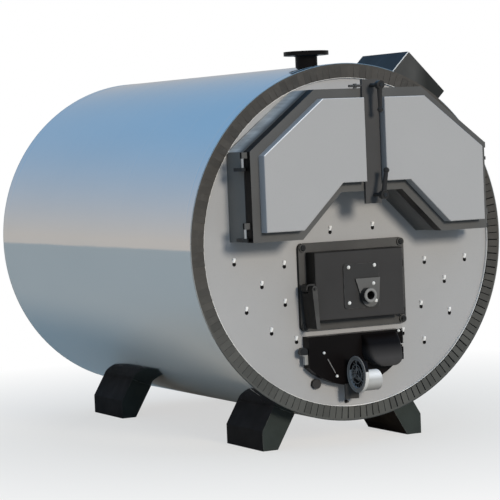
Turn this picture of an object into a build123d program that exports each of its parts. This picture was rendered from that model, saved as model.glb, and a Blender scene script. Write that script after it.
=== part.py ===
"""Horizontal shell boiler for solid fuel.

A lagged drum lies on four feet. Its front has a smoke box closed by two leaves, a fire door and an ash
door with a blower. The front faces -Y, Z is up and the floor is at zero. Lengths are in millimetres.
"""

from build123d import *

import os
from math import sqrt

os.makedirs("parts", exist_ok=True)

# Drum, lagging and end plates
JACKET_RADIUS = 850.0
JACKET_LENGTH = 2350.0
GROUND_GAP = 122.0
LAGGING = 68.0
DRUM_WALL = 12.0
PLATE_THICKNESS = 16.0
PLATE_RECESS = 15.0

# Clearances
SEAT = 0.3
PIN_PLAY = 0.5
SWING_GAP = 6.0

# Turned-in tabs of the lagging sheet
TAB_SHEET = 3.0
TAB_COUNT = 150
TAB_SLIT = 4.0
TAB_HEM = 10.0

# Feet
FOOT_INNER = 363.0
FOOT_OUTER = 443.0
FOOT_TOE = 96.0
FOOT_LEAN = 0.6
FOOT_LENGTH = 373.0
FOOT_FRONT = 140.0
FOOT_END = 226.0

# Flanged water nozzles
NOZZLE_SETBACK = 360.0
NOZZLE_STAND = 75.0
NOZZLE_OUTER = 54.0
NOZZLE_BORE = 50.0
FLANGE_RADIUS = 110.0
FLANGE_THICKNESS = 20.0
FLANGE_CIRCLE = 90.0
FLANGE_HOLE = 9.0
FLANGE_BOLTS = 8
RETURN_RISE = 362.0
RETURN_REACH = 90.0

# Flue outlet
FLUE_ANGLE = 45.0
FLUE_SETBACK = 20.0
FLUE_LENGTH = 430.0
FLUE_WIDTH = 277.0
FLUE_OFFSET = -232.0
FLUE_STAND = 52.0
FLUE_WALL = 6.0

# Smoke box and its two leaves. The upper corners lie on a circle just inside the tabs.
LEAF_INSET = 2.0
LEAF_SHOULDER = 452.0
LEAF_TOP_HALF = 290.0
LEAF_RISE = 820.0
NOTCH_FOOT = 377.0
NOTCH_HEAD = 165.0
NOTCH_HEIGHT = 208.0
BOX_WALL = 8.0
BOX_LIP = 30.0
BOX_LIP_THICKNESS = 10.0
BOX_AHEAD = 147.0
LEAF_DEPTH = 60.0
LEAF_RIM = 46.0
PANEL_MARGIN = 44.0
PANEL_DEPTH = 54.0
PANEL_EDGE = 54.0
PANEL_ROUND = 5.0

# Lock bar on the left leaf, with two screws and their lever nuts
LOCK_HALF = 43.0
LOCK_THICKNESS = 16.0
LOCK_OVER = 40.0
LOCK_UNDER = 59.0
SCREW_X = 5.0
SCREW_OVER = 11.0
SCREW_UNDER = 19.0
SCREW_RADIUS = 9.0
SCREW_LENGTH = 97.0
HUB_STAND = 64.0
HUB_RADIUS = 20.0
HUB_LENGTH = 28.0
ARM_LENGTH = 114.0
ARM_ROOT = 13.0
ARM_TIP = 9.0
BALL_RADIUS = 14.0
LOW_ARM_TILT = 10.0
STOP_PIN_RADIUS = 6.0
STOP_PIN_LENGTH = 66.0
STOP_NUT_RADIUS = 12.0
STOP_NUT_WIDTH = 12.0

# Hinges of the leaves
LEAF_PIN_OUT = 18.0
LEAF_PIN_AHEAD = 175.0
LEAF_HINGE_UP = 20.0
LEAF_HINGE_DOWN = 72.0
EYE_THICKNESS = 16.0
PIN_SHOW = 42.0
PIN_DEPTH = 20.0
KNUCKLE_LENGTH = 28.0
KNUCKLE_RADIUS = 12.0
PIN_RADIUS = 7.0
STRAP_THICKNESS = 10.0

# Fire tubes
TUBE_RADIUS = 51.0
TUBE_WALL = 4.0
TUBE_STANDOUT = 4.0
TUBE_PITCH_X = 146.0
TUBE_PITCH_Z = 135.0
TUBE_EDGE = 14.0

# Firebox inside the drum. Its heights, and those of the doors below, are over the drum's lowest line.
FIREBOX_HALF = 400.0
FIREBOX_DROP = 20.0
FIREBOX_GAP = 20.0
FIREBOX_LENGTH = 1900.0
FIREBOX_WALL = 12.0
GRATE_RISE = 372.0
GRATE_BARS = 12
GRATE_BAR = 52.0
GRATE_DEPTH = 40.0
BEARER = 50.0
BEARER_DEPTH = 25.0

# Fire door and its mouth
MOUTH_HALF = 205.0
MOUTH_LOW = 457.0
MOUTH_HIGH = 717.0
FRAME_HALF = 290.0
FRAME_LOW = 377.0
FRAME_HIGH = 791.0
FRAME_THICKNESS = 20.0
FRAME_ROUND = 24.0
FRAME_BOSS = 19.0
FRAME_BOSS_INSET = 21.0
FRAME_BOSS_RISE = 8.0
FIRE_LEFT = 254.0
FIRE_RIGHT = 230.0
FIRE_LOW = 426.0
FIRE_HIGH = 749.0
FIRE_AHEAD = 92.0
FIRE_SHEET = 8.0
FIRE_ROUND = 10.0
FIRE_PIN_OUT = 17.0
FIRE_PIN_AHEAD = 42.0
FIRE_HINGE_INSET = 62.0
FIRE_HINGE_FOOT = 31.0
FIRE_KNUCKLE = 34.0

# Sight hole in the fire door
SIGHT_X = -7.0
SIGHT_RISE = 580.0
SIGHT_WIDTH = 193.0
SIGHT_HEIGHT = 210.0
SIGHT_PLATE = 6.0
SIGHT_CORNER = 14.0
SHIELD_LEFT = -44.0
SHIELD_RIGHT = 90.0
SHIELD_HIGH = 614.0
SHIELD_X = 34.0
SHIELD_RISE = 525.0
SHIELD_RADIUS = 48.0
SHIELD_PLATE = 9.0
SIGHT_TUBE_X = 12.0
SIGHT_TUBE_RISE = 535.0
SIGHT_TUBE_RADIUS = 34.0
SIGHT_TUBE_BORE = 20.0
SIGHT_TUBE_LENGTH = 40.0

# Latch lever of the fire door
LATCH_OUT = 26.0
LATCH_RISE = 584.0
LATCH_BOSS = 20.0
LATCH_BOSS_BACK = 30.0
LATCH_BOSS_AHEAD = 86.0
LATCH_BACK = 28.0
LATCH_RADIUS = 13.0
LATCH_DROP = 182.0
LATCH_LEAN = 12.0
LATCH_TIP = 9.0
LATCH_THICKNESS = 44.0

# Ash door
ASH_MOUTH_HALF = 185.0
ASH_MOUTH_HIGH = 330.0
ASH_SILL = 44.0
ASH_LEFT = 276.0
ASH_RIGHT = 228.0
ASH_HIGH = 352.0
ASH_SIDE = 205.0
ASH_LIFT = 20.0
ASH_SAG = 98.0
ASH_AHEAD = 45.0
ASH_PIN_OUT = 17.0
ASH_PIN_AHEAD = 20.0
ASH_HINGE_INSET = 40.0
ASH_HINGE_FOOT = 30.0
ASH_KNUCKLE = 30.0
ASH_BLOCK_LEFT = -92.0
ASH_BLOCK_RIGHT = -22.0
ASH_BLOCK_LOW = 44.0
ASH_BLOCK_HIGH = 116.0
ASH_BLOCK_DEPTH = 14.0
ASH_KNOB_OUT = 24.0
ASH_KNOB_RISE = 284.0
ASH_KNOB_RADIUS = 20.0
ASH_KNOB_LENGTH = 26.0
ASH_STRAP_LENGTH = 62.0
ASH_STRAP_BACK = 15.0
ASH_STRAP_WIDTH = 18.0

# Blower on the ash door
HOOD_LEFT = 12.0
HOOD_RIGHT = 226.0
HOOD_LOW = 192.0
HOOD_HIGH = 342.0
HOOD_DEPTH = 75.0
HOOD_SWEEP = 84.0
HOOD_CORNER = 50.0
BLOWER_X = -76.0
BLOWER_RISE = 168.0
BLOWER_STAND = 5.0
BLOWER_RADIUS = 86.0
INLET_RADIUS = 66.0
INLET_LIP = 12.0
INLET_WALL = 5.0
MOTOR_DROP = 33.0
MOTOR_RADIUS = 49.0
MOTOR_LENGTH = 100.0
MOTOR_ROUND = 10.0
DUCT_HEIGHT = 36.0
DUCT_DEPTH = 50.0

# Drain
DRAIN_X = -218.0
DRAIN_INSET = 88.0
DRAIN_RADIUS = 23.0
DRAIN_LENGTH = 20.0

# Values that follow from those above
axis_height = JACKET_RADIUS + GROUND_GAP
drum_radius = JACKET_RADIUS - LAGGING - SEAT
nozzle_top = JACKET_RADIUS + NOZZLE_STAND
flue_reach = JACKET_RADIUS + FLUE_STAND
corner_radius = drum_radius - LEAF_INSET
leaf_half = sqrt(corner_radius**2 - LEAF_SHOULDER**2)
leaf_top = sqrt(corner_radius**2 - LEAF_TOP_HALF**2)
leaf_bottom = LEAF_RISE - drum_radius
notch_top = leaf_bottom + NOTCH_HEIGHT
leaf_back = BOX_AHEAD + SWING_GAP
leaf_front = leaf_back + LEAF_DEPTH
panel_front = leaf_front + PANEL_DEPTH
bar_front = leaf_front + LOCK_THICKNESS
screw_end = bar_front + SCREW_LENGTH
front_y = (screw_end - JACKET_LENGTH - RETURN_REACH) / 2
plate_back = -PLATE_RECESS - PLATE_THICKNESS
plate_joint = leaf_bottom - BOX_WALL
rear_plate = JACKET_LENGTH - PLATE_RECESS
frame_front = FRAME_THICKNESS - PLATE_RECESS
fire_back = frame_front + SWING_GAP
ash_back = SWING_GAP - PLATE_RECESS
blower_ahead = ASH_AHEAD + BLOWER_STAND + BLOWER_RADIUS
leaf_pin_x = leaf_half + LEAF_PIN_OUT
fire_pin_x = FIRE_RIGHT + FIRE_PIN_OUT
ash_pin_x = ASH_RIGHT + ASH_PIN_OUT
latch_x = -FIRE_LEFT - LATCH_OUT
meeting_x = LOCK_HALF + SWING_GAP / 2
screw_top = leaf_top + SCREW_OVER
screw_bottom = notch_top - SCREW_UNDER
leaf_hinges = (LEAF_SHOULDER - LEAF_HINGE_DOWN, leaf_bottom + LEAF_HINGE_UP)
firebox_inner = sqrt((drum_radius - DRUM_WALL - FIREBOX_GAP) ** 2 - (FIREBOX_HALF + FIREBOX_WALL) ** 2)
firebox_floor_z = FIREBOX_WALL - firebox_inner
firebox_crown_z = plate_joint - FIREBOX_DROP
firebox_end = plate_back - FIREBOX_LENGTH
grate_z = GRATE_RISE - drum_radius
mouth_low = MOUTH_LOW - drum_radius
mouth_high = MOUTH_HIGH - drum_radius
frame_low = FRAME_LOW - drum_radius
frame_high = FRAME_HIGH - drum_radius
fire_low = FIRE_LOW - drum_radius
fire_high = FIRE_HIGH - drum_radius
fire_hinges = (fire_high - FIRE_HINGE_INSET, fire_low + FIRE_HINGE_FOOT)
sight_z = SIGHT_RISE - drum_radius
sight_tube_z = SIGHT_TUBE_RISE - drum_radius
latch_z = LATCH_RISE - drum_radius
ash_mouth_low = firebox_floor_z + ASH_SILL
ash_mouth_high = ASH_MOUTH_HIGH - drum_radius
ash_high = ASH_HIGH - drum_radius
ash_side = ASH_SIDE - drum_radius
ash_hinges = (ash_high - ASH_HINGE_INSET, ash_side + ASH_HINGE_FOOT)
ash_knob_z = ASH_KNOB_RISE - drum_radius
blower_z = BLOWER_RISE - drum_radius
return_z = RETURN_RISE - drum_radius
drain_z = -sqrt((drum_radius - DRAIN_INSET) ** 2 - DRAIN_X**2)


def front(ahead):
    """Plane that faces the viewer, so far ahead of the tab ring and centred on the drum axis."""
    return Plane(origin=(0, front_y - ahead, axis_height), x_dir=(1, 0, 0), z_dir=(0, -1, 0))


def across(x, ahead, z):
    """Plane at a point given from the drum axis, with its normal to the right."""
    return Plane(origin=spot(x, ahead, z), x_dir=(0, 1, 0), z_dir=(1, 0, 0))


def spot(x, ahead, z):
    """Point given from the drum axis at the tab ring."""
    return (x, front_y - ahead, axis_height + z)


def block(x_span, ahead_span, z_span, mode=Mode.ADD):
    """Box between two values each way, given from the drum axis at the tab ring."""
    middle = [sum(span) / 2 for span in (x_span, ahead_span, z_span)]
    with Locations(spot(*middle)):
        Box(abs(x_span[1] - x_span[0]), abs(ahead_span[1] - ahead_span[0]), abs(z_span[1] - z_span[0]), mode=mode)


def post(x, ahead, z_span, radius, mode=Mode.ADD):
    """Upright cylinder."""
    with Locations(spot(x, ahead, sum(z_span) / 2)):
        Cylinder(radius, abs(z_span[1] - z_span[0]), mode=mode)


def knuckle(pin_x, edge_x, ahead, z_span):
    """Hinge knuckle with the strap that joins it to the edge of its door."""
    post(pin_x, ahead, z_span, KNUCKLE_RADIUS)
    block((pin_x, edge_x), (ahead - STRAP_THICKNESS / 2, ahead + STRAP_THICKNESS / 2), z_span)
    post(pin_x, ahead, z_span, PIN_RADIUS + PIN_PLAY, Mode.SUBTRACT)


def hinge_bracket(pin_x, back, ahead, z, length):
    """Fixed half of a door hinge, with its pin upward."""
    block((pin_x - KNUCKLE_RADIUS / 2, pin_x + KNUCKLE_RADIUS), (back, ahead), (z - length, z))
    post(pin_x, ahead, (z - length, z), KNUCKLE_RADIUS)
    post(pin_x, ahead, (z, z + length + STRAP_THICKNESS), PIN_RADIUS)


def cut_drum(radius):
    """Takes away what lies within the drum."""
    with Locations(front(0)):
        Cylinder(radius, JACKET_LENGTH, align=(Align.CENTER, Align.CENTER, Align.MAX), mode=Mode.SUBTRACT)


def box_points():
    """Outline of the smoke box, with a notch over the fire door."""
    half = [
        (LEAF_TOP_HALF, leaf_top),
        (leaf_half, LEAF_SHOULDER),
        (leaf_half, leaf_bottom),
        (NOTCH_FOOT, leaf_bottom),
        (NOTCH_HEAD, notch_top),
    ]
    return half + [(-x, z) for x, z in reversed(half)]


def leaf_points(side, meeting):
    """Outline of one leaf from its meeting edge outward."""
    return [
        (meeting, leaf_top),
        (side * LEAF_TOP_HALF, leaf_top),
        (side * leaf_half, LEAF_SHOULDER),
        (side * leaf_half, leaf_bottom),
        (side * NOTCH_FOOT, leaf_bottom),
        (side * NOTCH_HEAD, notch_top),
        (meeting, notch_top),
    ]


def tube_spots():
    """Centres of the fire tubes: a grid, kept where a tube clears the lip of the smoke box all round."""
    with BuildSketch(Plane.XY, mode=Mode.PRIVATE) as field:
        with BuildLine():
            Polyline(*box_points(), close=True)
        make_face()
    outline = field.sketch.face()
    room = BOX_WALL + BOX_LIP + TUBE_EDGE + TUBE_RADIUS
    spots = []
    for row in range(int((leaf_top - leaf_bottom) / TUBE_PITCH_Z) + 1):
        for column in range(int(leaf_half / TUBE_PITCH_X) + 1):
            x = (column + 0.5) * TUBE_PITCH_X
            z = leaf_top - room - row * TUBE_PITCH_Z
            clear = outline.outer_wire().distance_to(Vertex(x, z, 0)) > room - SEAT
            if clear and outline.is_inside(Vector(x, z, 0)):
                spots += [(x, z), (-x, z)]
    return spots


def save(builder, name):
    """Names a finished piece and writes it."""
    builder.part.label = name
    export_step(builder.part, "parts/" + name + ".step")


tube_places = tube_spots()
flue_plane = Plane(
    origin=spot(0, -FLUE_SETBACK - FLUE_LENGTH / 2, 0),
    x_dir=Vector(1, 0, 0).rotate(Axis.Y, FLUE_ANGLE),
    z_dir=Vector(0, 0, 1).rotate(Axis.Y, FLUE_ANGLE),
)

# Drum, lagging and end plates
with BuildPart() as lagging_jacket:
    with BuildSketch(front(-TAB_SHEET)):
        Circle(JACKET_RADIUS)
        Circle(JACKET_RADIUS - LAGGING, mode=Mode.SUBTRACT)
    extrude(amount=2 * TAB_SHEET - JACKET_LENGTH)
    with BuildSketch(flue_plane):
        with Locations((FLUE_OFFSET, 0)):
            Rectangle(FLUE_WIDTH + 2 * SEAT, FLUE_LENGTH + 2 * SEAT)
    extrude(amount=flue_reach, mode=Mode.SUBTRACT)
    post(0, -NOZZLE_SETBACK, (0, nozzle_top), NOZZLE_OUTER + SEAT, Mode.SUBTRACT)
save(lagging_jacket, "lagging_jacket")

with BuildPart() as drum_shell:
    with BuildSketch(front(plate_back)):
        Circle(drum_radius)
        Circle(drum_radius - DRUM_WALL, mode=Mode.SUBTRACT)
    extrude(amount=PLATE_THICKNESS - rear_plate - plate_back)
    post(0, -NOZZLE_SETBACK, (0, nozzle_top), NOZZLE_BORE, Mode.SUBTRACT)
save(drum_shell, "drum_shell")

with BuildPart() as tube_plate:
    with BuildSketch(front(plate_back)):
        Circle(drum_radius)
        with Locations((0, plate_joint)):
            Rectangle(2 * JACKET_RADIUS, 2 * JACKET_RADIUS, align=(Align.CENTER, Align.MAX), mode=Mode.SUBTRACT)
        with Locations(*tube_places):
            Circle(TUBE_RADIUS + SEAT, mode=Mode.SUBTRACT)
    extrude(amount=PLATE_THICKNESS)
save(tube_plate, "tube_plate")

with BuildPart() as fire_plate:
    with BuildSketch(front(plate_back)):
        Circle(drum_radius)
        with Locations((0, plate_joint)):
            Rectangle(2 * JACKET_RADIUS, 2 * JACKET_RADIUS, align=(Align.CENTER, Align.MIN), mode=Mode.SUBTRACT)
        with Locations((0, (mouth_low + mouth_high) / 2)):
            Rectangle(2 * MOUTH_HALF, mouth_high - mouth_low, mode=Mode.SUBTRACT)
        with Locations((0, (ash_mouth_low + ash_mouth_high) / 2)):
            Rectangle(2 * ASH_MOUTH_HALF, ash_mouth_high - ash_mouth_low, mode=Mode.SUBTRACT)
    extrude(amount=PLATE_THICKNESS)
save(fire_plate, "fire_plate")

with BuildPart() as back_plate:
    with BuildSketch(front(-rear_plate)):
        Circle(drum_radius)
        with Locations((0, return_z)):
            Circle(NOZZLE_BORE, mode=Mode.SUBTRACT)
    extrude(amount=PLATE_THICKNESS)
save(back_plate, "back_plate")

with BuildPart() as tab_rings:
    for ring_ahead in (-TAB_SHEET, -JACKET_LENGTH):
        with BuildSketch(front(ring_ahead)):
            Circle(JACKET_RADIUS)
            Circle(JACKET_RADIUS - LAGGING, mode=Mode.SUBTRACT)
            with PolarLocations(JACKET_RADIUS - TAB_HEM - LAGGING / 2, TAB_COUNT):
                Rectangle(LAGGING, TAB_SLIT, mode=Mode.SUBTRACT)
        extrude(amount=TAB_SHEET)
save(tab_rings, "tab_rings")

with BuildPart() as fire_tubes:
    with BuildSketch(front(TUBE_STANDOUT - PLATE_RECESS)):
        with Locations(*tube_places):
            Circle(TUBE_RADIUS)
        with Locations(*tube_places):
            Circle(TUBE_RADIUS - TUBE_WALL, mode=Mode.SUBTRACT)
    extrude(amount=PLATE_RECESS - TUBE_STANDOUT - rear_plate + PLATE_THICKNESS)
save(fire_tubes, "fire_tubes")

# Feet, cut to the round of the jacket
with BuildPart() as feet:
    for foot_start in (FOOT_FRONT, JACKET_LENGTH - FOOT_END - FOOT_LENGTH):
        with BuildSketch(front(-foot_start)):
            for side in (-1, 1):
                with BuildLine():
                    Polyline(
                        (side * FOOT_INNER, -axis_height),
                        (side * FOOT_OUTER, -axis_height),
                        (side * FOOT_OUTER, FOOT_TOE - axis_height),
                        (side * (FOOT_OUTER - FOOT_LEAN * (axis_height - FOOT_TOE)), 0),
                        (side * (FOOT_INNER - FOOT_LEAN * axis_height), 0),
                        close=True,
                    )
                make_face()
        extrude(amount=-FOOT_LENGTH)
    cut_drum(JACKET_RADIUS + SEAT)
save(feet, "feet")

# Water nozzles: a pipe that runs through a flat flange, to its face
with BuildPart() as outlet_nozzle:
    post(0, -NOZZLE_SETBACK, (0, nozzle_top), NOZZLE_OUTER)
    post(0, -NOZZLE_SETBACK, (0, nozzle_top), NOZZLE_BORE, Mode.SUBTRACT)
    cut_drum(drum_radius + SEAT)
save(outlet_nozzle, "outlet_nozzle")

with BuildPart() as outlet_flange:
    with BuildSketch(Plane.XY.move(Location(spot(0, -NOZZLE_SETBACK, nozzle_top)))):
        Circle(FLANGE_RADIUS)
        Circle(NOZZLE_OUTER + SEAT, mode=Mode.SUBTRACT)
        with PolarLocations(FLANGE_CIRCLE, FLANGE_BOLTS):
            Circle(FLANGE_HOLE, mode=Mode.SUBTRACT)
    extrude(amount=-FLANGE_THICKNESS)
save(outlet_flange, "outlet_flange")

with BuildPart() as return_nozzle:
    with BuildSketch(front(-rear_plate)):
        with Locations((0, return_z)):
            Circle(NOZZLE_OUTER)
            Circle(NOZZLE_BORE, mode=Mode.SUBTRACT)
    extrude(amount=-RETURN_REACH - PLATE_RECESS)
save(return_nozzle, "return_nozzle")

with BuildPart() as return_flange:
    with BuildSketch(front(-JACKET_LENGTH - RETURN_REACH)):
        with Locations((0, return_z)):
            Circle(FLANGE_RADIUS)
            Circle(NOZZLE_OUTER + SEAT, mode=Mode.SUBTRACT)
            with PolarLocations(FLANGE_CIRCLE, FLANGE_BOLTS):
                Circle(FLANGE_HOLE, mode=Mode.SUBTRACT)
    extrude(amount=FLANGE_THICKNESS)
save(return_flange, "return_flange")

# Flue outlet
with BuildPart() as flue_outlet:
    with BuildSketch(flue_plane):
        with Locations((FLUE_OFFSET, 0)):
            Rectangle(FLUE_WIDTH, FLUE_LENGTH)
            Rectangle(FLUE_WIDTH - 2 * FLUE_WALL, FLUE_LENGTH - 2 * FLUE_WALL, mode=Mode.SUBTRACT)
    extrude(amount=flue_reach)
    cut_drum(drum_radius + SEAT)
save(flue_outlet, "flue_outlet")

# Smoke box
with BuildPart() as smoke_box:
    with BuildSketch(front(-PLATE_RECESS)):
        with BuildLine():
            Polyline(*box_points(), close=True)
        make_face()
        offset(amount=-BOX_WALL, kind=Kind.INTERSECTION, mode=Mode.SUBTRACT)
    extrude(amount=BOX_AHEAD + PLATE_RECESS)
    with BuildSketch(front(BOX_AHEAD - BOX_LIP_THICKNESS)):
        with BuildLine():
            Polyline(*box_points(), close=True)
        make_face()
        offset(amount=-BOX_WALL - BOX_LIP, kind=Kind.INTERSECTION, mode=Mode.SUBTRACT)
    extrude(amount=BOX_LIP_THICKNESS)
save(smoke_box, "smoke_box")

# Hinge eyes on the smoke box, each with a pin that stands up into a knuckle
with BuildPart() as leaf_hinge_eyes:
    for side in (-1, 1):
        pin_x = side * leaf_pin_x
        outer_x = pin_x + side * KNUCKLE_RADIUS
        for z in leaf_hinges:
            eye = (z - EYE_THICKNESS, z)
            block((side * leaf_half, outer_x), (BOX_AHEAD - PIN_SHOW, BOX_AHEAD), eye)
            block((pin_x - side * KNUCKLE_RADIUS, outer_x), (BOX_AHEAD - PIN_SHOW, LEAF_PIN_AHEAD), eye)
            post(pin_x, LEAF_PIN_AHEAD, eye, KNUCKLE_RADIUS)
            post(pin_x, LEAF_PIN_AHEAD, (z, z + PIN_SHOW + PIN_DEPTH), PIN_RADIUS)
save(leaf_hinge_eyes, "leaf_hinge_eyes")

# Leaves
for side, side_name in ((-1, "left"), (1, "right")):
    meeting = meeting_x + side * SWING_GAP / 2
    pin_x = side * leaf_pin_x
    with BuildPart() as leaf_frame:
        with BuildSketch(front(leaf_back)):
            with BuildLine():
                Polyline(*leaf_points(side, meeting), close=True)
            make_face()
            offset(amount=-LEAF_RIM, kind=Kind.INTERSECTION, mode=Mode.SUBTRACT)
        extrude(amount=LEAF_DEPTH)
        for z in leaf_hinges:
            base = z + PIN_SHOW
            post(pin_x, LEAF_PIN_AHEAD, (base, base + KNUCKLE_LENGTH), KNUCKLE_RADIUS)
            block(
                (pin_x, side * leaf_half),
                (LEAF_PIN_AHEAD - KNUCKLE_RADIUS, LEAF_PIN_AHEAD + KNUCKLE_RADIUS),
                (base, base + KNUCKLE_LENGTH),
            )
            post(pin_x, LEAF_PIN_AHEAD, (base, base + PIN_DEPTH + SEAT), PIN_RADIUS + PIN_PLAY, Mode.SUBTRACT)
    save(leaf_frame, side_name + "_leaf_frame")

    with BuildPart() as leaf_lining:
        with BuildSketch(front(leaf_back)):
            with BuildLine():
                Polyline(*leaf_points(side, meeting), close=True)
            make_face()
            offset(amount=-LEAF_RIM, kind=Kind.INTERSECTION, mode=Mode.REPLACE)
        extrude(amount=LEAF_DEPTH)
    save(leaf_lining, side_name + "_leaf_lining")

    with BuildPart() as leaf_panel:
        with BuildSketch(front(leaf_front)):
            with BuildLine():
                Polyline(*leaf_points(side, side * (PANEL_EDGE - PANEL_MARGIN)), close=True)
            make_face()
            offset(amount=-PANEL_MARGIN, kind=Kind.INTERSECTION, mode=Mode.REPLACE)
        extrude(amount=PANEL_DEPTH)
        fillet(leaf_panel.faces().sort_by(Axis.Y)[0].edges(), radius=PANEL_ROUND)
    save(leaf_panel, side_name + "_leaf_panel")

# Lock: a flat bar over the meeting edges, with a screw at each end and a stop pin at the top
with BuildPart() as lock_bar:
    lock_top = leaf_top + LOCK_OVER
    lock_bottom = notch_top - LOCK_UNDER
    block((-LOCK_HALF, LOCK_HALF), (leaf_front, bar_front), (lock_bottom, lock_top))
    with BuildSketch(across(-LOCK_HALF, (leaf_front + bar_front) / 2, screw_top)):
        Circle(STOP_PIN_RADIUS)
    extrude(amount=-STOP_PIN_LENGTH)
    with BuildSketch(across(-LOCK_HALF - STOP_PIN_LENGTH / 2, (leaf_front + bar_front) / 2, screw_top)):
        RegularPolygon(STOP_NUT_RADIUS, 6)
    extrude(amount=STOP_NUT_WIDTH / 2, both=True)
save(lock_bar, "lock_bar")

with BuildPart() as lock_screws:
    with BuildSketch(front(bar_front)):
        with Locations((SCREW_X, screw_top), (SCREW_X, screw_bottom)):
            Circle(SCREW_RADIUS)
    extrude(amount=SCREW_LENGTH)
save(lock_screws, "lock_screws")

hub_middle = bar_front + HUB_STAND + HUB_LENGTH / 2
for nut_name, nut_z, arm_turn in (
    ("upper_lever_nut", screw_top, 180),
    ("lower_lever_nut", screw_bottom, LOW_ARM_TILT),
):
    arm_dir = Vector(0, 0, 1).rotate(Axis.Y, arm_turn)
    arm_plane = Plane(origin=spot(SCREW_X, hub_middle, nut_z), x_dir=(0, 1, 0), z_dir=arm_dir)
    with BuildPart() as lever_nut:
        with BuildSketch(front(bar_front + HUB_STAND)):
            with Locations((SCREW_X, nut_z)):
                Circle(HUB_RADIUS)
        extrude(amount=HUB_LENGTH)
        with BuildSketch(arm_plane):
            Circle(ARM_ROOT)
        with BuildSketch(arm_plane.offset(ARM_LENGTH)):
            Circle(ARM_TIP)
        loft()
        with Locations(arm_plane.offset(ARM_LENGTH).origin):
            Sphere(BALL_RADIUS)
        with BuildSketch(front(bar_front + HUB_STAND)):
            with Locations((SCREW_X, nut_z)):
                Circle(SCREW_RADIUS + PIN_PLAY)
        extrude(amount=HUB_LENGTH, mode=Mode.SUBTRACT)
    save(lever_nut, nut_name)

# Firebox and grate
with BuildPart() as firebox_decks:
    for deck_z in (firebox_crown_z, firebox_floor_z - FIREBOX_WALL):
        block((-FIREBOX_HALF, FIREBOX_HALF), (plate_back, firebox_end), (deck_z, deck_z + FIREBOX_WALL))
save(firebox_decks, "firebox_decks")

firebox_height = (firebox_floor_z - FIREBOX_WALL, firebox_crown_z + FIREBOX_WALL)
with BuildPart() as firebox_sides:
    for side in (-1, 1):
        block(
            (side * FIREBOX_HALF, side * (FIREBOX_HALF + FIREBOX_WALL)),
            (plate_back, firebox_end),
            firebox_height,
        )
save(firebox_sides, "firebox_sides")

with BuildPart() as firebox_back:
    block(
        (-FIREBOX_HALF - FIREBOX_WALL, FIREBOX_HALF + FIREBOX_WALL),
        (firebox_end, firebox_end - FIREBOX_WALL),
        firebox_height,
    )
save(firebox_back, "firebox_back")

with BuildPart() as grate_bearers:
    bearer_top = grate_z - GRATE_DEPTH
    for bearer_ahead in (plate_back, firebox_end + BEARER):
        block(
            (-FIREBOX_HALF, FIREBOX_HALF),
            (bearer_ahead, bearer_ahead - BEARER),
            (bearer_top - BEARER_DEPTH, bearer_top),
        )
save(grate_bearers, "grate_bearers")

with BuildPart() as fire_grate:
    bar_pitch = 2 * FIREBOX_HALF / GRATE_BARS
    for bar in range(GRATE_BARS):
        bar_x = (bar + 0.5) * bar_pitch - FIREBOX_HALF
        block(
            (bar_x - GRATE_BAR / 2, bar_x + GRATE_BAR / 2),
            (plate_back, firebox_end),
            (grate_z - GRATE_DEPTH, grate_z),
        )
save(fire_grate, "fire_grate")

# Fire door and the frame of its mouth
with BuildPart() as mouth_frame:
    with BuildSketch(front(-PLATE_RECESS)):
        with Locations((0, (frame_low + frame_high) / 2)):
            RectangleRounded(2 * FRAME_HALF, frame_high - frame_low, FRAME_ROUND)
        with Locations((0, (mouth_low + mouth_high) / 2)):
            Rectangle(2 * MOUTH_HALF, mouth_high - mouth_low, mode=Mode.SUBTRACT)
    extrude(amount=FRAME_THICKNESS)
    with BuildSketch(front(frame_front)):
        with Locations((0, (frame_low + frame_high) / 2)):
            with GridLocations(
                2 * (FRAME_HALF - FRAME_BOSS_INSET), frame_high - frame_low - 2 * FRAME_BOSS_INSET, 2, 2
            ):
                Circle(FRAME_BOSS)
    extrude(amount=FRAME_BOSS_RISE)
save(mouth_frame, "mouth_frame")

with BuildPart() as fire_hinge_brackets:
    for z in fire_hinges:
        hinge_bracket(fire_pin_x, frame_front, FIRE_PIN_AHEAD, z, FIRE_KNUCKLE)
save(fire_hinge_brackets, "fire_hinge_brackets")

fire_inside = (
    (FIRE_SHEET - FIRE_LEFT, FIRE_RIGHT - FIRE_SHEET),
    (fire_back, FIRE_AHEAD - FIRE_SHEET),
    (fire_low + FIRE_SHEET, fire_high - FIRE_SHEET),
)
with BuildPart() as fire_door:
    block((-FIRE_LEFT, FIRE_RIGHT), (fire_back, FIRE_AHEAD), (fire_low, fire_high))
    fillet(fire_door.faces().sort_by(Axis.Y)[0].edges(), radius=FIRE_ROUND)
    block(*fire_inside, Mode.SUBTRACT)
    for z in fire_hinges:
        knuckle(fire_pin_x, FIRE_RIGHT, FIRE_PIN_AHEAD, (z + PIN_PLAY, z + FIRE_KNUCKLE))
    block(
        (latch_x, -FIRE_LEFT),
        (LATCH_BOSS_BACK, LATCH_BOSS_AHEAD),
        (latch_z - LATCH_BOSS, latch_z + LATCH_BOSS),
    )
    with BuildSketch(front(LATCH_BOSS_BACK)):
        with Locations((latch_x, latch_z)):
            Circle(LATCH_BOSS)
    extrude(amount=LATCH_BOSS_AHEAD - LATCH_BOSS_BACK)
    with BuildSketch(front(LATCH_BOSS_AHEAD)):
        with Locations((latch_x, latch_z)):
            Circle(PIN_RADIUS)
    extrude(amount=LATCH_THICKNESS + STRAP_THICKNESS)
save(fire_door, "fire_door")

with BuildPart() as fire_door_lining:
    block(*fire_inside)
save(fire_door_lining, "fire_door_lining")

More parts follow.
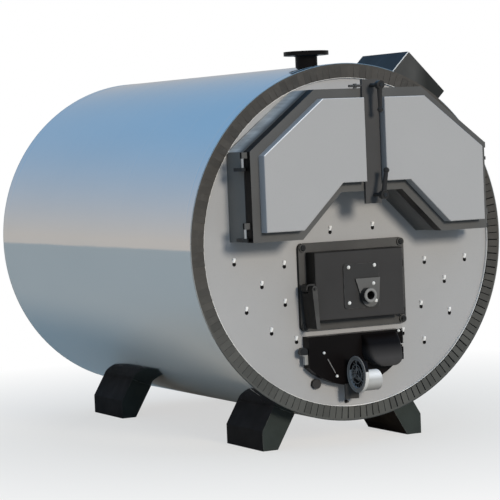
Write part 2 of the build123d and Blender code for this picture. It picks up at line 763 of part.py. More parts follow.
with BuildPart() as sight_plate:
    with BuildSketch(front(FIRE_AHEAD)):
        with Locations((SIGHT_X, sight_z)):
            RectangleRounded(SIGHT_WIDTH, SIGHT_HEIGHT, SIGHT_CORNER)
        with Locations((SIGHT_TUBE_X, sight_tube_z)):
            Circle(SIGHT_TUBE_BORE, mode=Mode.SUBTRACT)
    extrude(amount=SIGHT_PLATE)
save(sight_plate, "sight_plate")

with BuildPart() as sight_shield:
    with BuildSketch(front(FIRE_AHEAD + SIGHT_PLATE)):
        with BuildLine():
            shield_top = SHIELD_HIGH - drum_radius
            Line((SHIELD_LEFT, shield_top), (SHIELD_RIGHT, shield_top))
            CenterArc((SHIELD_X, SHIELD_RISE - drum_radius), SHIELD_RADIUS, 0, 360)
        make_hull()
        with Locations((SIGHT_TUBE_X, sight_tube_z)):
            Circle(SIGHT_TUBE_BORE, mode=Mode.SUBTRACT)
    extrude(amount=SHIELD_PLATE)
save(sight_shield, "sight_shield")

with BuildPart() as sight_tube:
    with BuildSketch(front(FIRE_AHEAD + SIGHT_PLATE + SHIELD_PLATE)):
        with Locations((SIGHT_TUBE_X, sight_tube_z)):
            Circle(SIGHT_TUBE_RADIUS)
            Circle(SIGHT_TUBE_BORE, mode=Mode.SUBTRACT)
    extrude(amount=SIGHT_TUBE_LENGTH)
save(sight_tube, "sight_tube")

with BuildPart() as fire_door_lever:
    with BuildSketch(front(LATCH_BACK)):
        with BuildLine():
            CenterArc((latch_x, latch_z), LATCH_RADIUS, 0, 360)
            CenterArc((latch_x + LATCH_LEAN, latch_z - LATCH_DROP), LATCH_TIP, 0, 360)
        make_hull()
    extrude(amount=LATCH_BOSS_AHEAD + SEAT + LATCH_THICKNESS - LATCH_BACK)
    with BuildSketch(front(LATCH_BACK)):
        with Locations((latch_x, latch_z)):
            Circle(LATCH_BOSS + SWING_GAP)
    extrude(amount=LATCH_BOSS_AHEAD + SEAT - LATCH_BACK, mode=Mode.SUBTRACT)
    with BuildSketch(front(LATCH_BOSS_AHEAD)):
        with Locations((latch_x, latch_z)):
            Circle(PIN_RADIUS + PIN_PLAY)
    extrude(amount=2 * LATCH_THICKNESS, mode=Mode.SUBTRACT)
save(fire_door_lever, "fire_door_lever")

# Ash door
with BuildPart() as ash_hinge_brackets:
    for z in ash_hinges:
        hinge_bracket(ash_pin_x, -PLATE_RECESS, ASH_PIN_AHEAD, z, ASH_KNUCKLE)
save(ash_hinge_brackets, "ash_hinge_brackets")

with BuildPart() as ash_door:
    with BuildSketch(front(ash_back)):
        with BuildLine():
            right_foot = (ASH_RIGHT, ash_side + ASH_LIFT)
            Polyline((-ASH_LEFT, ash_side), (-ASH_LEFT, ash_high), (ASH_RIGHT, ash_high), right_foot)
            arc_middle = ((ASH_RIGHT - ASH_LEFT) / 2, ash_side - ASH_SAG)
            ThreePointArc(right_foot, arc_middle, (-ASH_LEFT, ash_side))
        make_face()
    extrude(amount=ASH_AHEAD - ash_back)
    for z in ash_hinges:
        knuckle(ash_pin_x, ASH_RIGHT, ASH_PIN_AHEAD, (z + PIN_PLAY, z + ASH_KNUCKLE))
save(ash_door, "ash_door")

with BuildPart() as ash_latch:
    block(
        (-ASH_LEFT - ASH_STRAP_WIDTH, -ASH_LEFT),
        (ASH_STRAP_BACK, ASH_STRAP_BACK + ASH_STRAP_WIDTH),
        (ash_knob_z - ASH_STRAP_LENGTH, ash_knob_z),
    )
    with BuildSketch(front(ASH_STRAP_BACK)):
        with Locations((-ASH_LEFT - ASH_KNOB_OUT, ash_knob_z)):
            Circle(ASH_KNOB_RADIUS)
    extrude(amount=ASH_KNOB_LENGTH)
save(ash_latch, "ash_latch")

with BuildPart() as ash_block:
    block(
        (ASH_BLOCK_LEFT, ASH_BLOCK_RIGHT),
        (ASH_AHEAD, ASH_AHEAD + ASH_BLOCK_DEPTH),
        (ASH_BLOCK_LOW - drum_radius, ASH_BLOCK_HIGH - drum_radius),
    )
save(ash_block, "ash_block")

# Blower with its air hood
with BuildPart() as air_hood:
    hood_low = HOOD_LOW - drum_radius
    hood_height = HOOD_HIGH - HOOD_LOW
    hood_width = HOOD_RIGHT - HOOD_LEFT
    with BuildSketch(across(HOOD_LEFT, ASH_AHEAD, hood_low)):
        Ellipse(HOOD_DEPTH, hood_height)
        Rectangle(HOOD_DEPTH, hood_height, align=(Align.MAX, Align.MIN), mode=Mode.INTERSECT)
    extrude(amount=hood_width)
    with BuildSketch(front(ASH_AHEAD)) as hood_front:
        with Locations((HOOD_LEFT + hood_width / 2, hood_low + hood_height / 2)):
            Rectangle(hood_width, hood_height)
        low_corners = hood_front.vertices().group_by(Axis.Y)[0].sort_by(Axis.X)
        fillet(low_corners[0], radius=HOOD_SWEEP)
        fillet(low_corners[-1], radius=HOOD_CORNER)
    extrude(amount=HOOD_DEPTH, mode=Mode.INTERSECT)
save(air_hood, "air_hood")

motor_z = blower_z - MOTOR_DROP
motor_x = BLOWER_X + INLET_LIP + INLET_WALL
with BuildPart() as blower_inlet:
    with BuildSketch(across(BLOWER_X, blower_ahead, blower_z)):
        Circle(BLOWER_RADIUS)
        Circle(INLET_RADIUS, mode=Mode.SUBTRACT)
    extrude(amount=INLET_LIP)
    with BuildSketch(across(BLOWER_X + INLET_LIP, blower_ahead, blower_z)):
        Circle(BLOWER_RADIUS)
    extrude(amount=INLET_WALL)
    duct_low = motor_z + MOTOR_RADIUS + SEAT
    block(
        (motor_x, HOOD_LEFT - SEAT),
        (ASH_AHEAD, ASH_AHEAD + DUCT_DEPTH),
        (duct_low, duct_low + DUCT_HEIGHT),
    )
save(blower_inlet, "blower_inlet")

with BuildPart() as blower_casing:
    with BuildSketch(across(motor_x, blower_ahead, motor_z)):
        Circle(MOTOR_RADIUS)
    extrude(amount=MOTOR_LENGTH)
    fillet(blower_casing.faces().sort_by(Axis.X)[-1].edges(), radius=MOTOR_ROUND)
save(blower_casing, "blower_casing")

# Drain low in the fire plate
with BuildPart() as drain_plug:
    with BuildSketch(front(-PLATE_RECESS)):
        with Locations((DRAIN_X, drain_z)):
            Circle(DRAIN_RADIUS)
    extrude(amount=DRAIN_LENGTH)
save(drain_plug, "drain_plug")
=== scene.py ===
"""Looks of a horizontal solid fuel boiler: sheet cladding, painted steel and small fasteners."""

import math
import random

import bmesh
import bpy
from mathutils import Matrix, Vector


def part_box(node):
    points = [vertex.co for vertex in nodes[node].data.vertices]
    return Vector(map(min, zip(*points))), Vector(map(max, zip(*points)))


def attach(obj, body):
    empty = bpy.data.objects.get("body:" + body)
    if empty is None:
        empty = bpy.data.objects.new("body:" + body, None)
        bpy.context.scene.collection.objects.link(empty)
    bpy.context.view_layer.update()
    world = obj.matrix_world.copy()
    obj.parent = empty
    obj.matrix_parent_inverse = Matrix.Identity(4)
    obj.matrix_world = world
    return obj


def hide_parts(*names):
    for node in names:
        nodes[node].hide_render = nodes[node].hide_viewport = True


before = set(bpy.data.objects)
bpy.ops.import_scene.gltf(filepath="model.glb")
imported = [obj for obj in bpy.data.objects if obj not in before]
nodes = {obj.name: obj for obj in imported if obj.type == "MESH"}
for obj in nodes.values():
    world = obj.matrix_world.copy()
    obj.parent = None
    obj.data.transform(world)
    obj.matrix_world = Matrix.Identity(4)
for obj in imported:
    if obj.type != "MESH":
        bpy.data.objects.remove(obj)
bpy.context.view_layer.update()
random.seed(7)

MM = 0.001

# Reference lines of the boiler, read from its pieces
ring_low, ring_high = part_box("tab_rings")
jacket_low, jacket_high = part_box("lagging_jacket")
RING_Y = ring_low[1]
REAR_Y = ring_high[1]
AXIS_Z = (jacket_low[2] + jacket_high[2]) / 2
JACKET_RADIUS = (jacket_high[0] - jacket_low[0]) / 2
DRUM_RADIUS = (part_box("back_plate")[1][0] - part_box("back_plate")[0][0]) / 2
JACKET_MM = JACKET_RADIUS / MM
DRUM_MM = DRUM_RADIUS / MM
LENGTH_MM = (REAR_Y - RING_Y) / MM


def at(x, ahead, z):
    """Point given in millimetres from the drum axis, so far ahead of the front ring."""
    return Vector((x * MM, RING_Y - ahead * MM, AXIS_Z + z * MM))


def facing_front(x, ahead, z):
    """Places a form whose own Z points ahead, away from the front plate."""
    turn = Matrix(((1, 0, 0), (0, 0, -1), (0, 1, 0))).to_4x4()
    return Matrix.Translation(at(x, ahead, z)) @ turn


def facing_left(x, ahead, z):
    """Places a form whose own Z points to the left."""
    turn = Matrix(((0, 0, -1), (-1, 0, 0), (0, 1, 0))).to_4x4()
    return Matrix.Translation(at(x, ahead, z)) @ turn


def front_of(node):
    """How far the front of a node lies ahead of the front ring, in millimetres."""
    return (RING_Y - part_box(node)[0][1]) / MM


def back_of(node):
    """How far the back of a node lies ahead of the front ring, in millimetres."""
    return (RING_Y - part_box(node)[1][1]) / MM


def over_axis(z):
    """Height over the drum axis, in millimetres."""
    return (z - AXIS_Z) / MM


PLATE_AHEAD = front_of("tube_plate")
SIGHT_AHEAD = front_of("sight_plate")
SHIELD_AHEAD = front_of("sight_shield")
ASH_AHEAD = front_of("ash_door")

# Colours that more than one finish uses
LIGHT_GREY = (0.385, 0.380, 0.384)
BLACK = (0.0056, 0.0044, 0.0043)

# Scales of the noise in the finishes, in waves to the metre
CLOUD_SCALE, SPECK_SCALE, CHIP_SCALE, GLOSS_SCALE, PEEL_SCALE = 3.2, 160.0, 42.0, 9.0, 420.0
STAIN_SCALE, BRUSH_SCALE, GRIME_SCALE, STREAK_SCALE, SMEAR_SCALE = 6.0, 60.0, 30.0, 14.0, 34.0
SHEET_SCALE, ROLLING_SCALE, WAVE_SCALE = 2.2, 26.0, 2.4

# Sizes of worn edges, paint grain and metal brushing, in metres
WORN_EDGE, PEEL_HEIGHT, BRUSH_HEIGHT = 0.003, 0.0006, 0.0004


# Nodes of the materials


def inside(material):
    """Node tree and surface shader of a material."""
    tree = material.node_tree
    return tree, tree.nodes["Principled BSDF"]


def new_material(name):
    """A material with its node tree and surface shader."""
    material = bpy.data.materials.new(name)
    material.use_nodes = True
    return material, *inside(material)


def link(tree, source, target):
    """Joins one socket to another."""
    tree.links.new(source, target)


def position(tree):
    """Object coordinates, in metres."""
    return tree.nodes.new("ShaderNodeTexCoord").outputs["Object"]


def along(tree, axis):
    """One coordinate of the place on the part, in metres."""
    split = tree.nodes.new("ShaderNodeSeparateXYZ")
    link(tree, position(tree), split.inputs[0])
    return split.outputs[axis]


def normal(tree):
    """Direction of the surface, in the piece's own frame."""
    return tree.nodes.new("ShaderNodeTexCoord").outputs["Normal"]


def own_normal(tree, axis):
    """One part of the direction of the surface."""
    split = tree.nodes.new("ShaderNodeSeparateXYZ")
    link(tree, normal(tree), split.inputs[0])
    return split.outputs[axis]


def noise(tree, scale, detail=4.0, stretch=None, rough=0.55):
    """Cloudy value from nought to one, stretched where its scale along an axis is below one."""
    texture = tree.nodes.new("ShaderNodeTexNoise")
    texture.inputs["Scale"].default_value = scale
    texture.inputs["Detail"].default_value = detail
    texture.inputs["Roughness"].default_value = rough
    source = position(tree)
    if stretch:
        mapping = tree.nodes.new("ShaderNodeMapping")
        mapping.inputs["Scale"].default_value = stretch
        link(tree, source, mapping.inputs["Vector"])
        source = mapping.outputs["Vector"]
    link(tree, source, texture.inputs["Vector"])
    return texture.outputs["Fac"]


def math_node(tree, operation, *values):
    """Result of an operation on one to three values, each a number or a socket."""
    node = tree.nodes.new("ShaderNodeMath")
    node.operation = operation
    for value, socket in zip(values, node.inputs):
        if isinstance(value, (int, float)):
            socket.default_value = value
        else:
            link(tree, value, socket)
    return node.outputs[0]


def spread(tree, source, low, high, from_low=0.3, from_high=0.7):
    """Maps a value from one span onto another, within its ends."""
    span = tree.nodes.new("ShaderNodeMapRange")
    span.inputs["From Min"].default_value = from_low
    span.inputs["From Max"].default_value = from_high
    span.inputs["To Min"].default_value = low
    span.inputs["To Max"].default_value = high
    link(tree, source, span.inputs["Value"])
    return span.outputs["Result"]


def mix(tree, factor, first, second):
    """Blends two colours, each a tuple or a socket."""
    node = tree.nodes.new("ShaderNodeMix")
    node.data_type = "RGBA"
    link(tree, factor, node.inputs["Factor"])
    for value, socket in ((first, node.inputs[6]), (second, node.inputs[7])):
        if isinstance(value, tuple):
            socket.default_value = (*value, 1.0)
        else:
            link(tree, value, socket)
    return node.outputs[2]


def dot_product(tree, first, second):
    """How far two directions agree. The second is a tuple or a socket."""
    node = tree.nodes.new("ShaderNodeVectorMath")
    node.operation = "DOT_PRODUCT"
    link(tree, first, node.inputs[0])
    if isinstance(second, tuple):
        node.inputs[1].default_value = second
    else:
        link(tree, second, node.inputs[1])
    return node.outputs["Value"]


def bump(tree, height, strength, distance, under=None):
    """Roughens the surface by a height in metres, on top of another bump where one is given."""
    node = tree.nodes.new("ShaderNodeBump")
    node.inputs["Strength"].default_value = strength
    node.inputs["Distance"].default_value = distance
    link(tree, height, node.inputs["Height"])
    if under:
        link(tree, under, node.inputs["Normal"])
    return node.outputs["Normal"]


def shade(colour, factor):
    """A colour made darker or lighter."""
    return tuple(min(1.0, part * factor) for part in colour)


def edge_mask(tree, radius):
    """One at sharp edges, nought on flat faces."""
    bevel = tree.nodes.new("ShaderNodeBevel")
    bevel.samples = 6
    bevel.inputs["Radius"].default_value = radius
    geometry = tree.nodes.new("ShaderNodeNewGeometry")
    flat = dot_product(tree, bevel.outputs["Normal"], geometry.outputs["Normal"])
    return spread(tree, flat, 1.0, 0.0, 0.72, 0.98)


def end_faces(tree):
    """One on faces that look ahead or back, nought on the sides."""
    return spread(tree, math_node(tree, "ABSOLUTE", own_normal(tree, "Y")), 0.0, 1.0, 0.6, 0.7)


def retint(material, share, colour):
    """Turns the tone of a material to a colour, by a share from nought to one."""
    tree, shader = inside(material)
    tone = shader.inputs["Base Color"].links[0].from_socket
    link(tree, mix(tree, share, tone, colour), shader.inputs["Base Color"])
    return material


def graded(material, source, start, stop, colour):
    """Turns the tone of a material to a colour along a value that runs from start to stop."""
    return retint(material, spread(material.node_tree, source, 0.0, 1.0, start, stop), colour)


# Finishes


def paint(name, colour, roughness, wear=0.0, worn=(0.3, 0.29, 0.28), grain=0.05, dirt=0.12, gloss_level=0.4,
          sides=None):
    """Sprayed paint with an uneven tone, specks, fine grain and worn edges. Side faces may take their own
    darker tone, as painted shade.
    """
    material, tree, shader = new_material(name)
    shader.inputs["Specular IOR Level"].default_value = gloss_level
    cloud = spread(tree, noise(tree, CLOUD_SCALE, 5.0), 0.0, 1.0)
    tone = mix(tree, cloud, shade(colour, 1.0 - dirt), shade(colour, 1.0 + dirt * 0.6))
    speck = spread(tree, noise(tree, SPECK_SCALE, 3.0), 0.0, 0.35, 0.62, 0.74)
    tone = mix(tree, speck, tone, shade(colour, 0.7))
    if wear > 0:
        chips = spread(tree, noise(tree, CHIP_SCALE, 6.0), 0.0, 1.0, 0.40, 0.62)
        rubbed = math_node(tree, "MULTIPLY", edge_mask(tree, WORN_EDGE), chips)
        tone = mix(tree, spread(tree, rubbed, 0.0, wear, 0.0, 1.0), tone, worn)
    # Side faces take the darker sides tone: painted shade.
    if sides:
        tone = mix(tree, end_faces(tree), sides, tone)
    link(tree, tone, shader.inputs["Base Color"])
    gloss = spread(tree, noise(tree, GLOSS_SCALE), roughness * 0.85, min(1.0, roughness * 1.2))
    link(tree, gloss, shader.inputs["Roughness"])
    peel = noise(tree, PEEL_SCALE, 2.0)
    link(tree, bump(tree, peel, grain, PEEL_HEIGHT), shader.inputs["Normal"])
    return material


def metal(name, colour, roughness, brushed=(1.0, 1.0, 14.0), scratch=0.12, stain=0.15, metallic=1.0):
    """Bare metal with brushing, stains and an uneven gloss."""
    material, tree, shader = new_material(name)
    shader.inputs["Metallic"].default_value = metallic
    cloud = spread(tree, noise(tree, STAIN_SCALE, 6.0), 0.0, 1.0)
    tone = mix(tree, cloud, shade(colour, 1.0 - stain), colour)
    link(tree, tone, shader.inputs["Base Color"])
    lines = noise(tree, BRUSH_SCALE, 3.0, brushed)
    gloss = spread(tree, lines, roughness * 0.75, min(1.0, roughness * 1.3))
    link(tree, gloss, shader.inputs["Roughness"])
    link(tree, bump(tree, lines, scratch, BRUSH_HEIGHT), shader.inputs["Normal"])
    return material


def cladding_material(name, wadding_ends):
    """Bright rolled sheet with long soft waves and faint rolling lines, and dark wadding at its ends."""
    wadding = (0.004, 0.004, 0.004)
    material, tree, shader = new_material(name)
    cloud = spread(tree, noise(tree, SHEET_SCALE, 5.0, (1.0, 0.35, 1.0)), 0.0, 1.0)
    tone = mix(tree, cloud, (0.85, 0.86, 0.865), (0.90, 0.90, 0.90))
    lines = noise(tree, ROLLING_SCALE, 3.0, (1.0, 0.06, 1.0))
    sheen = spread(tree, lines, 0.055, 0.095)
    if wadding_ends:
        ends = end_faces(tree)
        link(tree, spread(tree, ends, 1.0, 0.0, 0.0, 1.0), shader.inputs["Metallic"])
        tone = mix(tree, ends, tone, wadding)
        sheen = math_node(tree, "MAXIMUM", sheen, ends)
    else:
        shader.inputs["Metallic"].default_value = 1.0
    link(tree, tone, shader.inputs["Base Color"])
    link(tree, sheen, shader.inputs["Roughness"])
    waves = bump(tree, noise(tree, WAVE_SCALE, 2.0, (1.0, 0.8, 1.0), 0.4), 0.16, 0.006)
    link(tree, bump(tree, lines, 0.02, 0.001, waves), shader.inputs["Normal"])
    return material


def tab_material():
    """Folded sheet, each tab of its own tone, browner high up and greener low down."""
    brown, green = (0.078, 0.071, 0.064), (0.096, 0.097, 0.091)
    dull, smeared = (0.030, 0.030, 0.029), (0.11, 0.105, 0.098)
    material, tree, shader = new_material("tab_sheet_grey")
    shader.inputs["Specular IOR Level"].default_value = 0.2
    low_down = spread(tree, along(tree, "Z"), 1.0, 0.0, AXIS_Z - 0.6, AXIS_Z - 0.1)
    tone = mix(tree, low_down, brown, green)
    each = tree.nodes.new("ShaderNodeNewGeometry").outputs["Random Per Island"]
    tone = mix(tree, spread(tree, each, 0.0, 0.45, 0.0, 1.0), tone, dull)
    smear = spread(tree, noise(tree, SMEAR_SCALE, 5.0), 0.0, 0.30, 0.5, 0.72)
    tone = mix(tree, smear, tone, smeared)
    link(tree, tone, shader.inputs["Base Color"])
    link(tree, spread(tree, noise(tree, GLOSS_SCALE), 0.36, 0.5), shader.inputs["Roughness"])
    link(tree, bump(tree, noise(tree, BRUSH_SCALE, 3.0), 0.15, 0.001), shader.inputs["Normal"])
    return material


def hinge_eye_material():
    """Black eyes, with the plain steel of the pins above them."""
    material, tree, shader = new_material("hinge_eye_black")
    low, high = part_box("leaf_hinge_eyes")
    eye_height, pin_length, margin = 0.016, 0.062, 0.0005
    height = along(tree, "Z")
    pins = []
    for eye_top in (low[2] + eye_height, high[2] - pin_length):
        pins.append(math_node(tree, "COMPARE", height, eye_top + pin_length / 2, pin_length / 2 - margin))
    pin = math_node(tree, "MAXIMUM", *pins)
    grime = spread(tree, noise(tree, GRIME_SCALE), 0.0, 1.0)
    steel = mix(tree, grime, (0.62, 0.61, 0.6), (0.78, 0.78, 0.77))
    black = mix(tree, grime, (0.012, 0.012, 0.013), (0.022, 0.022, 0.022))
    link(tree, mix(tree, pin, black, steel), shader.inputs["Base Color"])
    link(tree, spread(tree, pin, 0.5, 0.3, 0.0, 1.0), shader.inputs["Roughness"])
    link(tree, pin, shader.inputs["Metallic"])
    return material


def latch_material():
    """Black knob on a bare steel strap."""
    material, tree, shader = new_material("ash_latch_finish")
    knob_height, blend_height = 0.036, 0.002
    knob_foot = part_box("ash_latch")[1][2] - knob_height
    knob = spread(tree, along(tree, "Z"), 0.0, 1.0, knob_foot, knob_foot + blend_height)
    grime = spread(tree, noise(tree, GRIME_SCALE), 0.0, 1.0)
    steel = mix(tree, grime, (0.20, 0.20, 0.195), (0.30, 0.30, 0.295))
    black = mix(tree, grime, (0.008, 0.008, 0.009), (0.014, 0.014, 0.014))
    link(tree, mix(tree, knob, steel, black), shader.inputs["Base Color"])
    link(tree, spread(tree, grime, 0.32, 0.45, 0.0, 1.0), shader.inputs["Roughness"])
    return material


def hood_material():
    """Black paint, with painted shade that makes it blacker towards the top of the hood."""
    material = paint("hood_black", (0.052, 0.050, 0.051), 0.40, 0.25, (0.16, 0.16, 0.16), dirt=0.2,
                     gloss_level=0.1)
    low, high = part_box("air_hood")
    # Painted shade: blacker towards the top of the hood.
    return graded(material, along(material.node_tree, "Z"), low[2] + 0.040, high[2] - 0.045, BLACK)


def motor_material():
    """Cast silver paint, with a painted highlight on top and painted shade on the underside."""
    material = metal("cast_silver", (0.50, 0.498, 0.495), 0.42, (6.0, 1.0, 1.0), 0.08, 0.12, 0.1)
    upward = own_normal(material.node_tree, "Z")
    # Painted highlight on faces that look up, painted shade on faces that look down.
    graded(material, upward, 0.15, 0.62, (0.98, 0.975, 0.97))
    return graded(material, upward, -0.15, -0.75, (0.30, 0.295, 0.29))


def flue_material():
    """Dark sheet: grey in front with bright edges, darker on the far side, blue black on the flanks. The
    bright edges are wear and a painted highlight, the far side is painted shade, the flanks are painted shade
    and reflection.
    """
    # Bright edges are wear and a painted highlight; the blue black flanks are painted shade and reflection.
    material = paint("flue_black", (0.072, 0.072, 0.070), 0.40, 1.0, (0.62, 0.62, 0.61), dirt=0.4,
                     gloss_level=0.12, sides=(0.022, 0.025, 0.029))
    low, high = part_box("flue_outlet")
    far_side = low[0] + 0.66 * (high[0] - low[0])
    far_side_shade = (0.026, 0.027, 0.026)
    # Painted shade: darker towards the far side.
    return graded(material, along(material.node_tree, "X"), far_side - 0.05, far_side + 0.02, far_side_shade)


def box_material():
    """Grey paint, with painted light that makes the left flank paler, and pale streaks on the sloping roof
    that are partly dust and partly a painted highlight.
    """
    material = paint("smoke_box_grey", (0.11, 0.108, 0.105), 0.45, 0.25, (0.3, 0.3, 0.29), dirt=0.2,
                     gloss_level=0.2)
    tree, shader = inside(material)
    streaks = spread(tree, noise(tree, STREAK_SCALE, 5.0, (1.0, 0.15, 1.0)), 0.25, 1.0)
    upward = spread(tree, own_normal(tree, "Z"), 0.0, 1.0, 0.25, 0.45)
    far_back = spread(tree, along(tree, "Y"), 0.0, 1.0, RING_Y - 0.130, RING_Y - 0.070)
    # Pale streaks on faces that look up: partly dust, partly a painted highlight with a metal sheen.
    dust_and_highlight = math_node(tree, "MULTIPLY", streaks, math_node(tree, "MULTIPLY", upward, far_back))
    retint(material, dust_and_highlight, (0.95, 0.95, 0.93))
    link(tree, math_node(tree, "MULTIPLY", dust_and_highlight, 0.6), shader.inputs["Metallic"])
    # Painted light: the left flank is paler.
    return graded(material, own_normal(tree, "X"), -0.85, -0.95, (0.17, 0.165, 0.155))


def hem_material():
    """Bright hem, with painted shade that makes its lower half dark and dull."""
    material = metal("hem_bright", (0.80, 0.78, 0.74), 0.34, (1.0, 1.0, 1.0), 0.05, 0.15)
    tree, shader = inside(material)
    bright_from, shaded_below = AXIS_Z - 0.05, AXIS_Z - 0.45
    height = along(tree, "Z")
    # Painted shade: dark and not metallic on the lower half.
    graded(material, height, bright_from, shaded_below, (0.045, 0.046, 0.044))
    link(tree, spread(tree, height, 0.0, 1.0, shaded_below, bright_from), shader.inputs["Metallic"])
    return material


def panel_material():
    """Light grey paint, with a painted highlight along the edge that looks up and to the left."""
    material = paint("panel_light_grey", LIGHT_GREY, 0.42, dirt=0.02, grain=0.03, gloss_level=0.3)
    tree = material.node_tree
    highlight_facing = dot_product(tree, normal(tree), (-0.50, -0.60, 0.62))
    # Painted highlight along the edge that looks up and to the left.
    return graded(material, highlight_facing, 0.80, 0.93, (0.95, 0.94, 0.93))


def inlet_material():
    """Grey ring whose walls are black as painted shade, or silver at the motor's height, and a black duct
    behind it.
    """
    material = paint("inlet_grey", (0.21, 0.20, 0.19), 0.36, 0.5, (0.40, 0.39, 0.38), dirt=0.25,
                     gloss_level=0.2)
    tree = material.node_tree
    ring_depth, blend_depth = 0.0165, 0.001
    ring_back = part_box("blower_inlet")[0][0] + ring_depth
    motor_low, motor_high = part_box("blower_casing")
    half_height = (motor_high[2] - motor_low[2]) / 2
    from_motor = math_node(tree, "SUBTRACT", along(tree, "Z"), (motor_low[2] + motor_high[2]) / 2)
    beside = math_node(tree, "LESS_THAN", math_node(tree, "ABSOLUTE", from_motor), half_height)
    turned = math_node(tree, "LESS_THAN", math_node(tree, "ABSOLUTE", own_normal(tree, "X")), 0.6)
    # Painted shade: the ring's walls are black, except at the motor's height, where they are silver.
    retint(material, turned, mix(tree, beside, BLACK, (0.60, 0.595, 0.59)))
    return graded(material, along(tree, "X"), ring_back, ring_back + blend_depth, BLACK)


m_cladding = cladding_material("bright_sheet", True)
m_strip = cladding_material("bright_strip", False)
m_tabs = tab_material()
m_hem = hem_material()
m_plate = paint("plate_light_grey", LIGHT_GREY, 0.50, dirt=0.03, grain=0.03, gloss_level=0.25)
m_panel = panel_material()
# Frame sides black: painted shade.
m_frame = paint("frame_dark_grey", (0.104, 0.103, 0.102), 0.40, 0.30, (0.20, 0.195, 0.19), gloss_level=0.12,
                sides=BLACK)
# Mouth frame sides near black: painted shade.
m_mouth = paint("mouth_frame_grey", (0.086, 0.084, 0.083), 0.42, 0.45, (0.24, 0.23, 0.22), dirt=0.3,
                gloss_level=0.12, sides=(0.012, 0.012, 0.012))
# Shield sides near black: painted shade.
m_shield = paint("shield_grey", (0.13, 0.128, 0.126), 0.42, 0.5, (0.3, 0.29, 0.28), dirt=0.2,
                 gloss_level=0.15, sides=(0.02, 0.02, 0.02))
# Handle sides near black: painted shade.
m_handle = paint("handle_black", (0.10, 0.098, 0.096), 0.40, 0.5, (0.28, 0.27, 0.26), dirt=0.4,
                 gloss_level=0.12, sides=(0.0045, 0.0042, 0.0042))
m_box = box_material()
m_bar = paint("lock_bar_grey", (0.072, 0.070, 0.070), 0.38, 0.35, (0.28, 0.27, 0.26), gloss_level=0.12)
# Door sides near black: painted shade.
m_door = paint("door_charcoal", (0.047, 0.045, 0.045), 0.38, 0.60, (0.2, 0.195, 0.19), gloss_level=0.14,
               sides=(0.006, 0.006, 0.006))
m_sight = paint("sight_plate_charcoal", (0.044, 0.043, 0.043), 0.42, 0.8, (0.24, 0.235, 0.23),
                gloss_level=0.14)
# Tube sides dark against a lighter front: painted shade.
m_tube = paint("sight_tube_grey", (0.20, 0.198, 0.195), 0.36, 0.6, (0.45, 0.44, 0.43), gloss_level=0.2,
               sides=(0.030, 0.029, 0.029))
m_black = paint("satin_black", BLACK, 0.32, 0.30, (0.09, 0.09, 0.09), dirt=0.25, gloss_level=0.12)
m_hood = hood_material()
m_collar = paint("collar_grey", (0.25, 0.247, 0.243), 0.36, 0.4, (0.4, 0.39, 0.38), gloss_level=0.2)
# Near white paint for the plate rims and the flue corner: a painted highlight.
m_bright_highlight = paint("rim_painted_highlight", (0.78, 0.775, 0.77), 0.45, dirt=0.35, gloss_level=0.3)
# Foot sides darker than the front faces: painted shade.
m_feet = paint("foot_black", (0.036, 0.043, 0.041), 0.55, 0.8, (0.30, 0.31, 0.30), dirt=0.35,
               gloss_level=0.06, sides=(0.015, 0.0125, 0.012))
m_flue = flue_material()
m_steel = metal("dull_steel", (0.36, 0.35, 0.34), 0.42)
m_screw = metal("screw_steel", (0.10, 0.098, 0.096), 0.45)
m_lever = paint("lever_dark", (0.030, 0.029, 0.029), 0.34, 0.45, (0.26, 0.25, 0.24), dirt=0.25,
                gloss_level=0.14)
m_bolt = paint("bolt_bright", (0.80, 0.80, 0.79), 0.30, dirt=0.15, gloss_level=0.6)
m_bolt_dark = paint("bolt_black", (0.018, 0.018, 0.018), 0.34, 0.5, (0.2, 0.2, 0.2), dirt=0.25,
                    gloss_level=0.3)
# Near white: painted highlight on the stay pins.
m_stay_highlight = paint("stay_head_highlight", (0.97, 0.965, 0.96), 0.34, dirt=0.05, gloss_level=0.5)
m_iron = metal("cast_iron", (0.10, 0.095, 0.09), 0.62, (1.0, 1.0, 1.0), 0.35, 0.4, 0.7)
m_soot = paint("sooty_steel", (0.045, 0.041, 0.037), 0.75, dirt=0.4, grain=0.2)
m_silver = motor_material()
m_inlet = inlet_material()
m_guard = paint("guard_grey", (0.24, 0.236, 0.23), 0.36, 0.5, (0.30, 0.295, 0.29), dirt=0.25,
                gloss_level=0.15)
m_lining = paint("refractory_board", (0.42, 0.375, 0.30), 0.9, dirt=0.25, grain=0.5)
m_rope = paint("seal_rope", (0.52, 0.48, 0.41), 0.95, dirt=0.3, grain=0.8)
m_eye = hinge_eye_material()
m_latch = latch_material()

